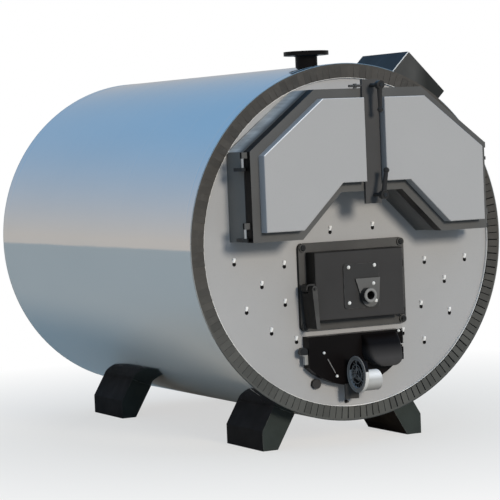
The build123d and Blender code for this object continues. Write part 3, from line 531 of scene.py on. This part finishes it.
looks = {
    "lagging_jacket": m_cladding,
    "tab_rings": m_tabs,
    "tube_plate": m_plate,
    "fire_plate": m_plate,
    "back_plate": m_plate,
    "left_leaf_panel": m_panel,
    "right_leaf_panel": m_panel,
    "smoke_box": m_box,
    "left_leaf_frame": m_frame,
    "right_leaf_frame": m_frame,
    "lock_bar": m_bar,
    "lock_screws": m_screw,
    "upper_lever_nut": m_lever,
    "lower_lever_nut": m_lever,
    "mouth_frame": m_mouth,
    "fire_door": m_door,
    "fire_hinge_brackets": m_black,
    "sight_plate": m_sight,
    "sight_shield": m_shield,
    "sight_tube": m_tube,
    "fire_door_lever": m_handle,
    "outlet_nozzle": m_black,
    "outlet_flange": m_black,
    "return_nozzle": m_black,
    "return_flange": m_black,
    "flue_outlet": m_flue,
    "feet": m_feet,
    "ash_door": m_black,
    "ash_hinge_brackets": m_black,
    "ash_block": m_sight,
    "ash_latch": m_latch,
    "air_hood": m_hood,
    "blower_inlet": m_inlet,
    "blower_casing": m_silver,
    "drain_plug": m_door,
    "leaf_hinge_eyes": m_eye,
    "drum_shell": m_steel,
    "fire_tubes": m_soot,
    "firebox_decks": m_soot,
    "firebox_sides": m_soot,
    "firebox_back": m_soot,
    "fire_grate": m_iron,
    "grate_bearers": m_iron,
    "left_leaf_lining": m_lining,
    "right_leaf_lining": m_lining,
    "fire_door_lining": m_lining,
}
for name, piece in nodes.items():
    for slot in piece.material_slots:
        slot.material = looks[name]


# Mesh building

ROD_SIDES = 8
SMOOTH_BELOW = math.radians(35)


class Form:
    """Collects like forms into one piece. Their sizes are in millimetres."""

    def __init__(self):
        self.mesh = bmesh.new()

    def lathe(self, profile, place, steps):
        """Turns a profile of radius and height about the form's own Z, and closes its ends."""
        rings = []
        for radius, height in profile:
            ring = []
            for step in range(steps):
                angle = 2 * math.pi * step / steps
                local = Vector((radius * math.cos(angle) * MM, radius * math.sin(angle) * MM, height * MM))
                ring.append(self.mesh.verts.new(place @ local))
            rings.append(ring)
        for lower, upper in zip(rings, rings[1:]):
            for step in range(steps):
                after = (step + 1) % steps
                self.mesh.faces.new((lower[step], lower[after], upper[after], upper[step]))
        self.mesh.faces.new(list(reversed(rings[0])))
        self.mesh.faces.new(rings[-1])

    def hoop(self, profile, place, steps):
        """Turns a closed profile of radius and height about the form's own Z."""
        loops = []
        for step in range(steps):
            angle = 2 * math.pi * step / steps
            loop = []
            for radius, height in profile:
                local = Vector((radius * math.cos(angle), radius * math.sin(angle), height)) * MM
                loop.append(self.mesh.verts.new(place @ local))
            loops.append(loop)
        count = len(profile)
        for step in range(steps):
            here, there = loops[step], loops[(step + 1) % steps]
            for side in range(count):
                after = (side + 1) % count
                self.mesh.faces.new((here[side], there[side], there[after], here[after]))

    def torus(self, major, minor, place, steps, sides=ROD_SIDES):
        """Ring of round section about the form's own Z."""
        turns = [2 * math.pi * side / sides for side in range(sides)]
        self.hoop([(major + minor * math.cos(turn), minor * math.sin(turn)) for turn in turns], place, steps)

    def tube(self, points, radius, closed=False):
        """Round rod along a line of points."""
        count = len(points)
        loops = []
        for index, point in enumerate(points):
            before = points[index - 1] if closed or index else point
            after = points[(index + 1) % count] if closed or index < count - 1 else point
            heading = (after - before).normalized()
            side_dir = heading.cross(Vector((0, 1, 0)))
            if side_dir.length < 0.01:
                side_dir = heading.cross(Vector((0, 0, 1)))
            side_dir.normalize()
            up_dir = heading.cross(side_dir)
            loop = []
            for side in range(ROD_SIDES):
                turn = 2 * math.pi * side / ROD_SIDES
                offset = side_dir * math.cos(turn) + up_dir * math.sin(turn)
                loop.append(self.mesh.verts.new(point + offset * radius * MM))
            loops.append(loop)
        last = count if closed else count - 1
        for index in range(last):
            here, there = loops[index], loops[(index + 1) % count]
            for side in range(ROD_SIDES):
                after = (side + 1) % ROD_SIDES
                self.mesh.faces.new((here[side], here[after], there[after], there[side]))
        if not closed:
            self.mesh.faces.new(loops[0])
            self.mesh.faces.new(list(reversed(loops[-1])))

    def block(self, under, over):
        """Closed block between two rows of points."""
        bottom = [self.mesh.verts.new(point) for point in under]
        top = [self.mesh.verts.new(point) for point in over]
        count = len(bottom)
        for index in range(count):
            after = (index + 1) % count
            self.mesh.faces.new((bottom[index], bottom[after], top[after], top[index]))
        self.mesh.faces.new(list(reversed(bottom)))
        self.mesh.faces.new(top)

    def prism(self, outline, low, high, place):
        """Closed block from an outline in the form's own XY."""
        under = [place @ Vector((x * MM, y * MM, low * MM)) for x, y in outline]
        over = [place @ Vector((x * MM, y * MM, high * MM)) for x, y in outline]
        self.block(under, over)

    def hexagon(self, radius, low, high, place, turn):
        """Nut or bolt head with a smaller crown."""
        corners = [math.radians(60 * index + turn) for index in range(6)]
        outline = [(radius * math.cos(angle), radius * math.sin(angle)) for angle in corners]
        crown = [(x * 0.9, y * 0.9) for x, y in outline]
        crown_foot = high - radius * 0.12
        self.prism(outline, low, crown_foot, place)
        self.prism(crown, crown_foot, high, place)

    def finish(self, name, material, body, smooth=True):
        """Makes the piece, which rides on a body and takes its finish from a slot."""
        bmesh.ops.recalc_face_normals(self.mesh, faces=self.mesh.faces)
        mesh = bpy.data.meshes.new(name)
        self.mesh.to_mesh(mesh)
        self.mesh.free()
        piece = bpy.data.objects.new(name, mesh)
        bpy.context.scene.collection.objects.link(piece)
        mesh.materials.append(material)
        mesh.polygons.foreach_set("use_smooth", [smooth] * len(mesh.polygons))
        if smooth:
            mesh.set_sharp_from_angle(angle=SMOOTH_BELOW)
        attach(piece, body)
        return piece


# Cladding: hem of the sheet, which stops at the flue, and swaged beads near both ends
DRUM_STEPS = 180
DRUM_ENDS = ((0.0, 1.0), (-LENGTH_MM, -1.0))


def swage(half, proud):
    """Closed profile of a low round ridge on the jacket, so wide to each side."""
    rows = [(JACKET_MM - 1.0, -half)]
    for step in range(-4, 5):
        share = step / 4
        rows.append((JACKET_MM - 0.2 + proud * (1.0 - share * share), half * share * 0.98))
    rows.append((JACKET_MM - 1.0, half))
    return rows


BEAD_BACK, BEAD_HALF, BEAD_PROUD = 62.0, 7.0, 0.8
beads = Form()
for bead_ahead in (-BEAD_BACK, BEAD_BACK - LENGTH_MM):
    beads.hoop(swage(BEAD_HALF, BEAD_PROUD), facing_front(0, bead_ahead, 0), DRUM_STEPS)
beads.finish("jacket_beads", m_strip, "boiler")

HEM_START, HEM_STOP, HEM_STEPS = 71.0, 411.0, 170
HEM_THICK, HEM_PROUD = 2.0, 0.4
HEM_REACH = JACKET_MM - 1.5
hem = Form()
hem_line = []
for step in range(HEM_STEPS + 1):
    angle = math.radians(HEM_START + (HEM_STOP - HEM_START) * step / HEM_STEPS)
    hem_line.append(at(HEM_REACH * math.cos(angle), HEM_PROUD, HEM_REACH * math.sin(angle)))
hem.tube(hem_line, HEM_THICK)
hem.torus(HEM_REACH, HEM_THICK, facing_front(0, -LENGTH_MM - HEM_PROUD, 0), 160)
hem.finish("jacket_hem", m_hem, "boiler")

# Folded tabs, each a little bent, on a plain outer band. They stand for the solid rings.
# The slits between them gape at the lower right and close towards the upper left.
TAB_COUNT = 150
TAB_BACK, BAND_FACE = -2.9, 0.8
BAND_INNER, BAND_OUTER = JACKET_MM - 11.0, JACKET_MM - 0.4
TAB_INNER, TAB_OUTER = DRUM_MM + 0.6, BAND_INNER + 0.5
GAPING = math.radians(-45.0)
SLIT_LOW, SLIT_HIGH = 0.05, 0.11
LIFT_LOW, LIFT_HIGH = 0.6, 3.0
RISE_INNER, RISE_STOP, RISE_START = 0.3, 0.7, 0.5
tabs = Form()
for end, sign in DRUM_ENDS:
    back, face = sign * TAB_BACK, sign * BAND_FACE
    band = [(BAND_INNER, back), (BAND_INNER, face), (BAND_OUTER, face), (BAND_OUTER, back)]
    tabs.hoop(band, facing_front(0, end, 0), DRUM_STEPS)
    for index in range(TAB_COUNT):
        gape = max(0.03, 0.40 + 0.60 * math.cos(2 * math.pi * (index + 0.5) / TAB_COUNT - GAPING))
        start = 2 * math.pi * (index + gape * random.uniform(SLIT_LOW, SLIT_HIGH)) / TAB_COUNT
        stop = 2 * math.pi * (index + 1 - gape * random.uniform(SLIT_LOW, SLIT_HIGH)) / TAB_COUNT
        inner = TAB_INNER + random.uniform(0.0, 4.0) * gape
        lift = random.uniform(LIFT_LOW, LIFT_HIGH)
        corners = []
        for radius, angle, rise in (
            (inner, start, RISE_INNER),
            (inner, stop, lift),
            (TAB_OUTER, stop, RISE_STOP),
            (TAB_OUTER, start, RISE_START),
        ):
            corners.append((radius * math.cos(angle), radius * math.sin(angle), rise))
        under = [at(x, end + back, z) for x, z, rise in corners]
        over = [at(x, end + sign * rise, z) for x, z, rise in corners]
        tabs.block(under, over)
folded = tabs.finish("folded_tabs", m_tabs, "boiler", smooth=False)
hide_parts("tab_rings")

# Rim of the drum round each plate: a light grey weld, painted near white as a highlight
RIM_INNER, RIM_OUTER, RIM_DEEP, RIM_FRONT = DRUM_MM - 2.2, DRUM_MM + 0.2, 14.6, 2.0
plate_rim = Form()
for end, sign in DRUM_ENDS:
    low, high = -sign * RIM_DEEP, -sign * RIM_FRONT
    band = [(RIM_INNER, low), (RIM_INNER, high), (RIM_OUTER, high), (RIM_OUTER, low)]
    plate_rim.hoop(band, facing_front(0, end, 0), DRUM_STEPS)
plate_rim.finish("plate_rim", m_bright_highlight, "boiler")

# Joints of the cladding sheets: a flat strip that laps over each
JOINTS_BACK = (385.0, 800.0, 1205.0, 1530.0, 1735.0)
STRIP_HALF, STRIP_PROUD = 9.0, 0.35
strips = Form()
for back in JOINTS_BACK:
    strips.hoop(swage(STRIP_HALF, STRIP_PROUD), facing_front(0, -back, 0), DRUM_STEPS)
strips.finish("jacket_strips", m_strip, "boiler")

# Stay ends on the front plate: an upright pin made near white as a painted highlight, over a black disc that
# is a painted shadow
STAYS = (
    (-105, 64), (130, 72), (-359, -84), (-623, -57), (-482, -172), (-362, -264), (-568, -286), (-441, -393),
    (-310, -443), (416, -112), (649, -113), (527, -212), (388, -326), (550, -369), (399, -501), (279, -448),
)
PIN_ASIDE, PIN_RADIUS, PIN_FOOT, PIN_TOP = 1, 7.2, 4.0, 19.0
PIN_MIDDLE_AHEAD, PIN_TOP_AHEAD, PIN_END_AHEAD = 5, 6, 2
PIN_END = [(PIN_RADIUS, 0.0), (4.2, 3.0), (0.8, 4.4)]
SHADOW_ASIDE, SHADOW_RADIUS, SHADOW_DROP = 2, 9.6, 10.0
SHADOW_PROFILE = [(SHADOW_RADIUS, 0.0), (SHADOW_RADIUS, 0.6), (0.8, 0.8)]
stays = Form()
stay_shadow_discs = Form()
for x, z in STAYS:
    pin_x = x + PIN_ASIDE
    foot = at(pin_x, PLATE_AHEAD, z + PIN_FOOT)
    middle = at(pin_x, PLATE_AHEAD + PIN_MIDDLE_AHEAD, z + (PIN_FOOT + PIN_TOP) / 2)
    top = at(pin_x, PLATE_AHEAD + PIN_TOP_AHEAD, z + PIN_TOP)
    stays.tube([foot, middle, top], PIN_RADIUS)
    stays.lathe(PIN_END, facing_front(pin_x, PLATE_AHEAD + PIN_END_AHEAD, z + PIN_FOOT), 16)
    stay_shadow_discs.lathe(SHADOW_PROFILE, facing_front(x + SHADOW_ASIDE, PLATE_AHEAD, z - SHADOW_DROP), 24)
# Black discs under the pins: painted shadow.
stay_shadow_discs.finish("stay_painted_shadows", m_black, "boiler")
stays.finish("stay_heads", m_stay_highlight, "boiler")

# Bolts of the mouth frame, in its corner bosses
frame_low, frame_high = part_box("mouth_frame")
FRAME_AHEAD = front_of("mouth_frame")
BOSS_INSET = 21.0
WASHER_PROFILE = [(15, 0.0), (15, 1.6), (14.4, 2.0)]
HEAD_RADIUS, HEAD_FOOT, HEAD_TOP, HEAD_TURN = 11, 2.0, 9.0, 20.0
frame_bolts = Form()
for x in (frame_low[0] / MM + BOSS_INSET, frame_high[0] / MM - BOSS_INSET):
    for z in (over_axis(frame_low[2]) + BOSS_INSET, over_axis(frame_high[2]) - BOSS_INSET):
        spot = facing_front(x, FRAME_AHEAD, z)
        frame_bolts.lathe(WASHER_PROFILE, spot, 24)
        frame_bolts.hexagon(HEAD_RADIUS, HEAD_FOOT, HEAD_TOP, spot, HEAD_TURN)
frame_bolts.finish("mouth_frame_bolts", m_bolt_dark, "boiler")

# Screws on the fire door: three in the sight plate, two in the shield
SCREW_PROFILE = [(8.5, 0.0), (8.5, 1.2), (7.2, 1.4), (6.8, 3.6), (5.0, 5.4), (2.2, 6.2), (0.5, 6.4)]
DOOR_SCREWS = (
    (-75, SIGHT_AHEAD, -112), (67, SIGHT_AHEAD, -109), (-77, SIGHT_AHEAD, -280),
    (63, SHIELD_AHEAD, -277), (53, SHIELD_AHEAD, -194),
)
door_screws = Form()
for x, ahead, z in DOOR_SCREWS:
    door_screws.lathe(SCREW_PROFILE, facing_front(x, ahead, z), 20)
door_screws.finish("sight_plate_screws", m_bolt, "fire_door")

# Collar and dark glass of the sight tube
tube_low, tube_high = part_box("sight_tube")
TUBE_AHEAD = front_of("sight_tube")
TUBE_RADIUS = (tube_high[0] - tube_low[0]) / 2 / MM
COLLAR_INNER, COLLAR_OUTER = 22.5, TUBE_RADIUS - 3.5
COLLAR_PROFILE = [
    (COLLAR_INNER, 0.0), (COLLAR_INNER, 1.6), (24.5, 2.6),
    (TUBE_RADIUS - 5.5, 2.6), (COLLAR_OUTER, 1.4), (COLLAR_OUTER, 0.0),
]
GLASS_PROFILE = [(19.6, 0.0), (19.6, 2.0), (17.0, 3.0), (0.5, 3.2)]
GLASS_SUNK = 5.8
tube_x = (tube_low[0] + tube_high[0]) / 2 / MM
tube_z = over_axis((tube_low[2] + tube_high[2]) / 2)
glass = Form()
glass.lathe(GLASS_PROFILE, facing_front(tube_x, SIGHT_AHEAD - GLASS_SUNK, tube_z), 32)
glass.finish("sight_glass", m_black, "fire_door")
collar = Form()
collar.hoop(COLLAR_PROFILE, facing_front(tube_x, TUBE_AHEAD, tube_z), 40)
collar.finish("sight_collar", m_collar, "fire_door")

# Bolts and their stay wire on the ash door, and the bolt under it
ASH_BOLT_PROFILE = [(6.8, 0.0), (6.8, 1.5), (6.0, 1.7), (5.8, 5.0), (4.2, 7.0), (1.6, 7.8), (0.4, 8.0)]
ASH_BOLTS = ((-196, -510), (-130, -625), (219, -436.5))
WIRE_LINE = ((-178, 1.6, -540), (-160, 2.4, -572), (-139, 1.6, -609))
WIRE_RADIUS = 2.0
LOW_BOLT_PROFILE = [(9, 0.0), (9, 2.0), (7, 3.0), (6.5, 16.0), (5.0, 18.0), (0.5, 18.5)]
LOW_BOLT_X, LOW_BOLT_Z = -52, -757
ash_bolts = Form()
for x, z in ASH_BOLTS:
    ash_bolts.lathe(ASH_BOLT_PROFILE, facing_front(x, ASH_AHEAD, z), 20)
ash_bolts.finish("ash_door_bolts", m_bolt, "ash_door")
wire = Form()
wire.tube([at(x, ASH_AHEAD + proud, z) for x, proud, z in WIRE_LINE], WIRE_RADIUS)
wire.finish("ash_door_wire", m_guard, "ash_door")
low_bolt = Form()
low_bolt.lathe(LOW_BOLT_PROFILE, facing_front(LOW_BOLT_X, PLATE_AHEAD, LOW_BOLT_Z), 20)
low_bolt.finish("plate_bolt", m_door, "boiler")

# Air hood: a scoop with round lower corners. It stands for the solid hood.
HOOD_LEFT, HOOD_RIGHT, HOOD_LOW, HOOD_TOP = 12.0, 206.0, -593.0, -439.7
HOOD_DEPTH, HOOD_LIP, HOOD_COLUMNS, HOOD_ROWS = 74.0, 30.0, 32, 26
LEFT_SWEEP, RIGHT_SWEEP = 84.0, 44.0
HOOD_OFF, HOOD_SQUARE = 0.2, 14


def sweep(radius, over_low):
    """How far a round lower corner draws in at a height over the lowest line."""
    if over_low >= radius:
        return 0.0
    return radius - math.sqrt(radius * radius - (radius - over_low) ** 2)


hood = Form()
hood_grid = []
for row in range(HOOD_ROWS + 1):
    share = row / HOOD_ROWS
    z = HOOD_LOW + (HOOD_TOP - HOOD_LOW) * share * share * (3.0 - 2.0 * share)
    over_lip = z - HOOD_LOW - HOOD_LIP
    bulge = over_lip / (HOOD_TOP - HOOD_LOW - HOOD_LIP) if over_lip > 0 else 0.5 * over_lip / HOOD_LIP
    depth = HOOD_DEPTH * math.sqrt(max(0.0, 1.0 - bulge * bulge))
    left_end = HOOD_LEFT + sweep(LEFT_SWEEP, z - HOOD_LOW)
    right_end = HOOD_RIGHT - sweep(RIGHT_SWEEP, z - HOOD_LOW)
    points = []
    for column in range(HOOD_COLUMNS + 1):
        aside = -math.cos(math.pi * column / HOOD_COLUMNS)
        x = (left_end + right_end) / 2 + (right_end - left_end) / 2 * aside
        out = depth * (1.0 - abs(aside) ** HOOD_SQUARE) ** 0.5
        points.append(hood.mesh.verts.new(at(x, ASH_AHEAD + HOOD_OFF + out, z)))
    hood_grid.append(points)
for lower, upper in zip(hood_grid, hood_grid[1:]):
    for column in range(HOOD_COLUMNS):
        hood.mesh.faces.new((lower[column], lower[column + 1], upper[column + 1], upper[column]))
hood.mesh.faces.new(list(reversed(hood_grid[0])))
hood.mesh.faces.new([points[-1] for points in hood_grid] + [points[0] for points in reversed(hood_grid)])
hood_piece = hood.finish("air_hood_shell", m_hood, "ash_door")
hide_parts("air_hood")

# Bright bead on the front corner of the flue: a painted highlight
FLUE_AHEAD, FLUE_BEAD_RADIUS = -19.0, 2.6
FLUE_BEAD_ENDS = ((280, 804), (374, 898))
flue_bead = Form()
flue_bead.tube([at(x, FLUE_AHEAD, z) for x, z in FLUE_BEAD_ENDS], FLUE_BEAD_RADIUS)
flue_bead.finish("flue_corner_highlight", m_bright_highlight, "boiler")

# Fan behind the blower's inlet: a ring of blades, a hub and a guard of three spokes
inlet_low, inlet_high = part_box("blower_inlet")
RING_OUTER = (inlet_high[2] - inlet_low[2]) / 2 / MM
RING_WIDTH = 20.0
RING_INNER = RING_OUTER - RING_WIDTH
fan_z = over_axis(inlet_low[2]) + RING_OUTER
fan_ahead = front_of("blower_inlet") - RING_OUTER
fan_spot = (inlet_low[0] / MM, fan_ahead, fan_z)
fan_place = facing_left(*fan_spot)
BLADES, BLADE_BACK, BLADE_FRONT = 20, -12.0, -5.0
BLADE_CORNERS = ((32, -2), (61, 9), (62, 11), (32, 1))
HUB_PROFILE = [(17, -13.0), (17, -6.0), (14, -3.5), (6, -2.5), (0.5, -2.4)]
blades = Form()
for index in range(BLADES):
    angle = 2 * math.pi * index / BLADES
    outward = Vector((math.cos(angle), math.sin(angle)))
    across = Vector((-outward.y, outward.x))
    corners = [tuple(outward * out + across * aside) for out, aside in BLADE_CORNERS]
    blades.prism(corners, BLADE_BACK, BLADE_FRONT, fan_place)
blades.lathe(HUB_PROFILE, fan_place, 24)
blades.finish("blower_fan", m_black, "ash_door")
GUARD_RINGS, GUARD_WIRE = (22.0, 44.0), 1.6
SPOKE_TURNS, SPOKE_LINE, SPOKE_RADIUS = (90, 210, 330), (0.004, 0.033, 0.067), 2.2
guard = Form()
for radius in GUARD_RINGS:
    guard.torus(radius, GUARD_WIRE, fan_place, 48)
for turn in SPOKE_TURNS:
    angle = math.radians(turn)
    outward = Vector((0, math.cos(angle), math.sin(angle)))
    guard.tube([at(*fan_spot) + outward * reach for reach in SPOKE_LINE], SPOKE_RADIUS)
guard.finish("blower_guard", m_guard, "ash_door")
OUTER_BEAD, INNER_BEAD = 3.0, 2.0
blower_rim = Form()
blower_rim.torus(RING_OUTER - OUTER_BEAD, OUTER_BEAD, fan_place, 64)
blower_rim.torus(RING_INNER + INNER_BEAD, INNER_BEAD, fan_place, 64)
blower_rim.finish("blower_rim", m_guard, "ash_door")

# Threads of the lock screws
screw_low, screw_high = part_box("lock_screws")
SCREW_RADIUS = (screw_high[0] - screw_low[0]) / 2 / MM
THREAD_PITCH, THREAD_SUNK, THREAD_RADIUS = 4.0, 0.6, 0.95
screw_x = (screw_high[0] + screw_low[0]) / 2 / MM
threads = Form()
for screw_z in (over_axis(screw_high[2]) - SCREW_RADIUS, over_axis(screw_low[2]) + SCREW_RADIUS):
    ahead = back_of("lock_screws") + THREAD_PITCH
    while ahead < front_of("lock_screws") - THREAD_PITCH / 2:
        threads.torus(SCREW_RADIUS - THREAD_SUNK, THREAD_RADIUS, facing_front(screw_x, ahead, screw_z), 24, 6)
        ahead += THREAD_PITCH
threads.finish("lock_screw_threads", m_screw, "left_leaf")

# Weld where the smoke box meets the plate
box_low, box_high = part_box("smoke_box")
LEAF_HALF = box_high[0] / MM
BOX_TOP = over_axis(box_high[2])
BOX_BOTTOM = over_axis(box_low[2])
SHOULDER, TOP_HALF, NOTCH_FOOT, NOTCH_HEAD = 452.0, 290.0, 377.0, 165.0
NOTCH_TOP = BOX_BOTTOM + 208.0
WELD_AHEAD, WELD_RADIUS = 1.0, 4.0
half_box = [
    (TOP_HALF, BOX_TOP), (LEAF_HALF, SHOULDER), (LEAF_HALF, BOX_BOTTOM), (NOTCH_FOOT, BOX_BOTTOM),
    (NOTCH_HEAD, NOTCH_TOP),
]
box_line = half_box + [(-x, z) for x, z in reversed(half_box)]
weld = Form()
weld.tube([at(x, PLATE_AHEAD + WELD_AHEAD, z) for x, z in box_line], WELD_RADIUS, closed=True)
weld.finish("smoke_box_weld", m_box, "boiler")

# Weld of the outlet nozzle at its flange
OUTLET_WELD, OUTLET_WELD_RADIUS = 56.0, 5.0
flange_low, flange_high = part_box("outlet_flange")
flange_x = (flange_low[0] + flange_high[0]) / 2
flange_y = (flange_low[1] + flange_high[1]) / 2
outlet_place = Matrix.Translation((flange_x, flange_y, flange_low[2]))
outlet_weld = Form()
outlet_weld.torus(OUTLET_WELD, OUTLET_WELD_RADIUS, outlet_place, 48)
outlet_weld.finish("outlet_weld", m_black, "boiler")

# Seal ropes on the backs of the leaves and of both doors
ROPE_RADIUS, ROPE_SUNK = 2.4, 0.2
LEAF_SEAL_INSET, DOOR_SEAL_INSET = 22.0, 10
ASH_SEAL_HALF, ASH_SEAL_LOW, ASH_SEAL_HIGH = 198, -578, -444


def rope_seal(body, corners, back):
    """Rope laid in a loop on the back of a leaf or door."""
    seal = Form()
    seal.tube([at(x, back - ROPE_RADIUS + ROPE_SUNK, z) for x, z in corners], ROPE_RADIUS, closed=True)
    seal.finish(body + "_seal", m_rope, body)


def box_corners(low_x, high_x, low_z, high_z):
    """Corners of an upright box outline, in turn."""
    return [(low_x, low_z), (high_x, low_z), (high_x, high_z), (low_x, high_z)]


def inset(points, amount):
    """Moves each side of an outline inward."""
    area = sum(a[0] * b[1] - b[0] * a[1] for a, b in zip(points, points[1:] + points[:1]))
    inward = 1.0 if area > 0 else -1.0
    count = len(points)
    moved = []
    for index in range(count):
        before, here, after = (Vector(points[(index + step) % count]) for step in (-1, 0, 1))
        first, second = (here - before).normalized(), (after - here).normalized()
        first_in = Vector((-first.y, first.x)) * inward
        second_in = Vector((-second.y, second.x)) * inward
        moved.append(tuple(here + (first_in + second_in) * amount / (1.0 + first_in.dot(second_in))))
    return moved


for side, leaf in ((-1, "left_leaf"), (1, "right_leaf")):
    leaf_low, leaf_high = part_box(leaf + "_frame")
    meeting = leaf_high[0] / MM if side < 0 else leaf_low[0] / MM
    outline = [(meeting, BOX_TOP)] + [(side * x, z) for x, z in half_box] + [(meeting, NOTCH_TOP)]
    rope_seal(leaf, inset(outline, LEAF_SEAL_INSET), back_of(leaf + "_frame"))

lining_low, lining_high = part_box("fire_door_lining")
lining_corners = box_corners(
    lining_low[0] / MM + DOOR_SEAL_INSET,
    lining_high[0] / MM - DOOR_SEAL_INSET,
    over_axis(lining_low[2]) + DOOR_SEAL_INSET,
    over_axis(lining_high[2]) - DOOR_SEAL_INSET,
)
rope_seal("fire_door", lining_corners, back_of("fire_door_lining"))
ash_corners = box_corners(-ASH_SEAL_HALF, ASH_SEAL_HALF, ASH_SEAL_LOW, ASH_SEAL_HIGH)
rope_seal("ash_door", ash_corners, back_of("ash_door"))

# Camera, fitted to the drum end, the drum side and the ground of the photograph
CAMERA_X, CAMERA_AHEAD, CAMERA_UP = -5093.2, 8656.4, 504.9
YAW, PITCH, ROLL = (math.radians(angle) for angle in (27.73, -2.98, -2.37))
SENSOR, LENS, CLIP_END = 36.0, 152.08, 200.0
forward = Vector((math.sin(YAW) * math.cos(PITCH), math.cos(YAW) * math.cos(PITCH), math.sin(PITCH)))
level = Vector((math.cos(YAW), -math.sin(YAW), 0.0))
above = level.cross(forward)
right = level * math.cos(ROLL) + above * math.sin(ROLL)
upward = above * math.cos(ROLL) - level * math.sin(ROLL)
camera_data = bpy.data.cameras.new("photo_camera")
camera_data.sensor_width = SENSOR
camera_data.lens = LENS
camera_data.clip_end = CLIP_END
camera = bpy.data.objects.new("photo_camera", camera_data)
bpy.context.scene.collection.objects.link(camera)
turn = Matrix((right, upward, -forward)).transposed().to_4x4()
camera.matrix_world = Matrix.Translation(at(CAMERA_X, CAMERA_AHEAD, CAMERA_UP)) @ turn
bpy.context.scene.camera = camera

# Plain pale floor, which fades with distance to the white of the backdrop where it is seen directly
FLOOR_HALF = 20.0
FLOOR_COLOUR = (0.62, 0.565, 0.49)
WHITE = (1.0, 1.0, 1.0)
FADE_NEAR, FADE_FAR, NEAR_SHARE = 1.0, 3.6, 0.6
floor_corners = [(x, y, 0) for x, y in box_corners(-FLOOR_HALF, FLOOR_HALF, -FLOOR_HALF, FLOOR_HALF)]
floor_mesh = bpy.data.meshes.new("floor")
floor_mesh.from_pydata(floor_corners, [], [(0, 1, 2, 3)])
floor = bpy.data.objects.new("floor", floor_mesh)
bpy.context.scene.collection.objects.link(floor)
m_floor, floor_tree, floor_shader = new_material("pale_floor")
floor_shader.inputs["Base Color"].default_value = (*FLOOR_COLOUR, 1.0)
floor_shader.inputs["Roughness"].default_value = 0.9
floor_shader.inputs["Specular IOR Level"].default_value = 0.0
floor_seen = floor_tree.nodes.new("ShaderNodeLightPath").outputs["Is Camera Ray"]
distance = floor_tree.nodes.new("ShaderNodeVectorMath")
distance.operation = "LENGTH"
link(floor_tree, position(floor_tree), distance.inputs[0])
far = spread(floor_tree, distance.outputs["Value"], NEAR_SHARE, 1.0, FADE_NEAR, FADE_FAR)
white = floor_tree.nodes.new("ShaderNodeEmission")
white.inputs["Color"].default_value = (*WHITE, 1.0)
fade = floor_tree.nodes.new("ShaderNodeMixShader")
link(floor_tree, math_node(floor_tree, "MULTIPLY", far, floor_seen), fade.inputs[0])
link(floor_tree, floor_shader.outputs[0], fade.inputs[1])
link(floor_tree, white.outputs[0], fade.inputs[2])
link(floor_tree, fade.outputs[0], floor_tree.nodes["Material Output"].inputs["Surface"])
floor_mesh.materials.append(m_floor)

# Soft light from all round, neutral at eye level and cool overhead, and a white backdrop
LEVEL_LIGHT = (0.50, 0.48, 0.46)
TOP_LIGHT = (0.21, 0.38, 0.59)
TOP_FROM = 0.45
world = bpy.data.worlds.new("studio")
bpy.context.scene.world = world
world.use_nodes = True
studio = world.node_tree
background = studio.nodes["Background"]
direction = studio.nodes.new("ShaderNodeSeparateXYZ")
link(studio, studio.nodes.new("ShaderNodeTexCoord").outputs["Generated"], direction.inputs[0])
overhead = spread(studio, direction.outputs["Z"], 0.0, 1.0, 0.0, TOP_FROM)
soft_light = mix(studio, overhead, LEVEL_LIGHT, TOP_LIGHT)
backdrop_seen = studio.nodes.new("ShaderNodeLightPath").outputs["Is Camera Ray"]
link(studio, mix(studio, backdrop_seen, soft_light, WHITE), background.inputs["Color"])
background.inputs["Strength"].default_value = 1.0


def soft_lamp(name, energy, width, up, side, colour):
    """Distant soft light from so far up and to the left of straight ahead, in degrees. It makes no glints."""
    data = bpy.data.lights.new(name, "SUN")
    data.energy = energy
    data.angle = math.radians(width)
    data.color = colour
    lamp = bpy.data.objects.new(name, data)
    lamp.visible_glossy = False
    bpy.context.scene.collection.objects.link(lamp)
    up, side = math.radians(up), math.radians(side)
    source = Vector((-math.sin(side) * math.cos(up), -math.cos(side) * math.cos(up), math.sin(up)))
    lamp.rotation_euler = source.to_track_quat("Z", "Y").to_euler()


soft_lamp("key", energy=2.34, width=12.0, up=16.0, side=-3.0, colour=(1.0, 0.925, 0.80))
soft_lamp("behind", energy=1.1, width=20.0, up=8.0, side=177.0, colour=WHITE)

bpy.context.scene.view_settings.view_transform = "Standard"
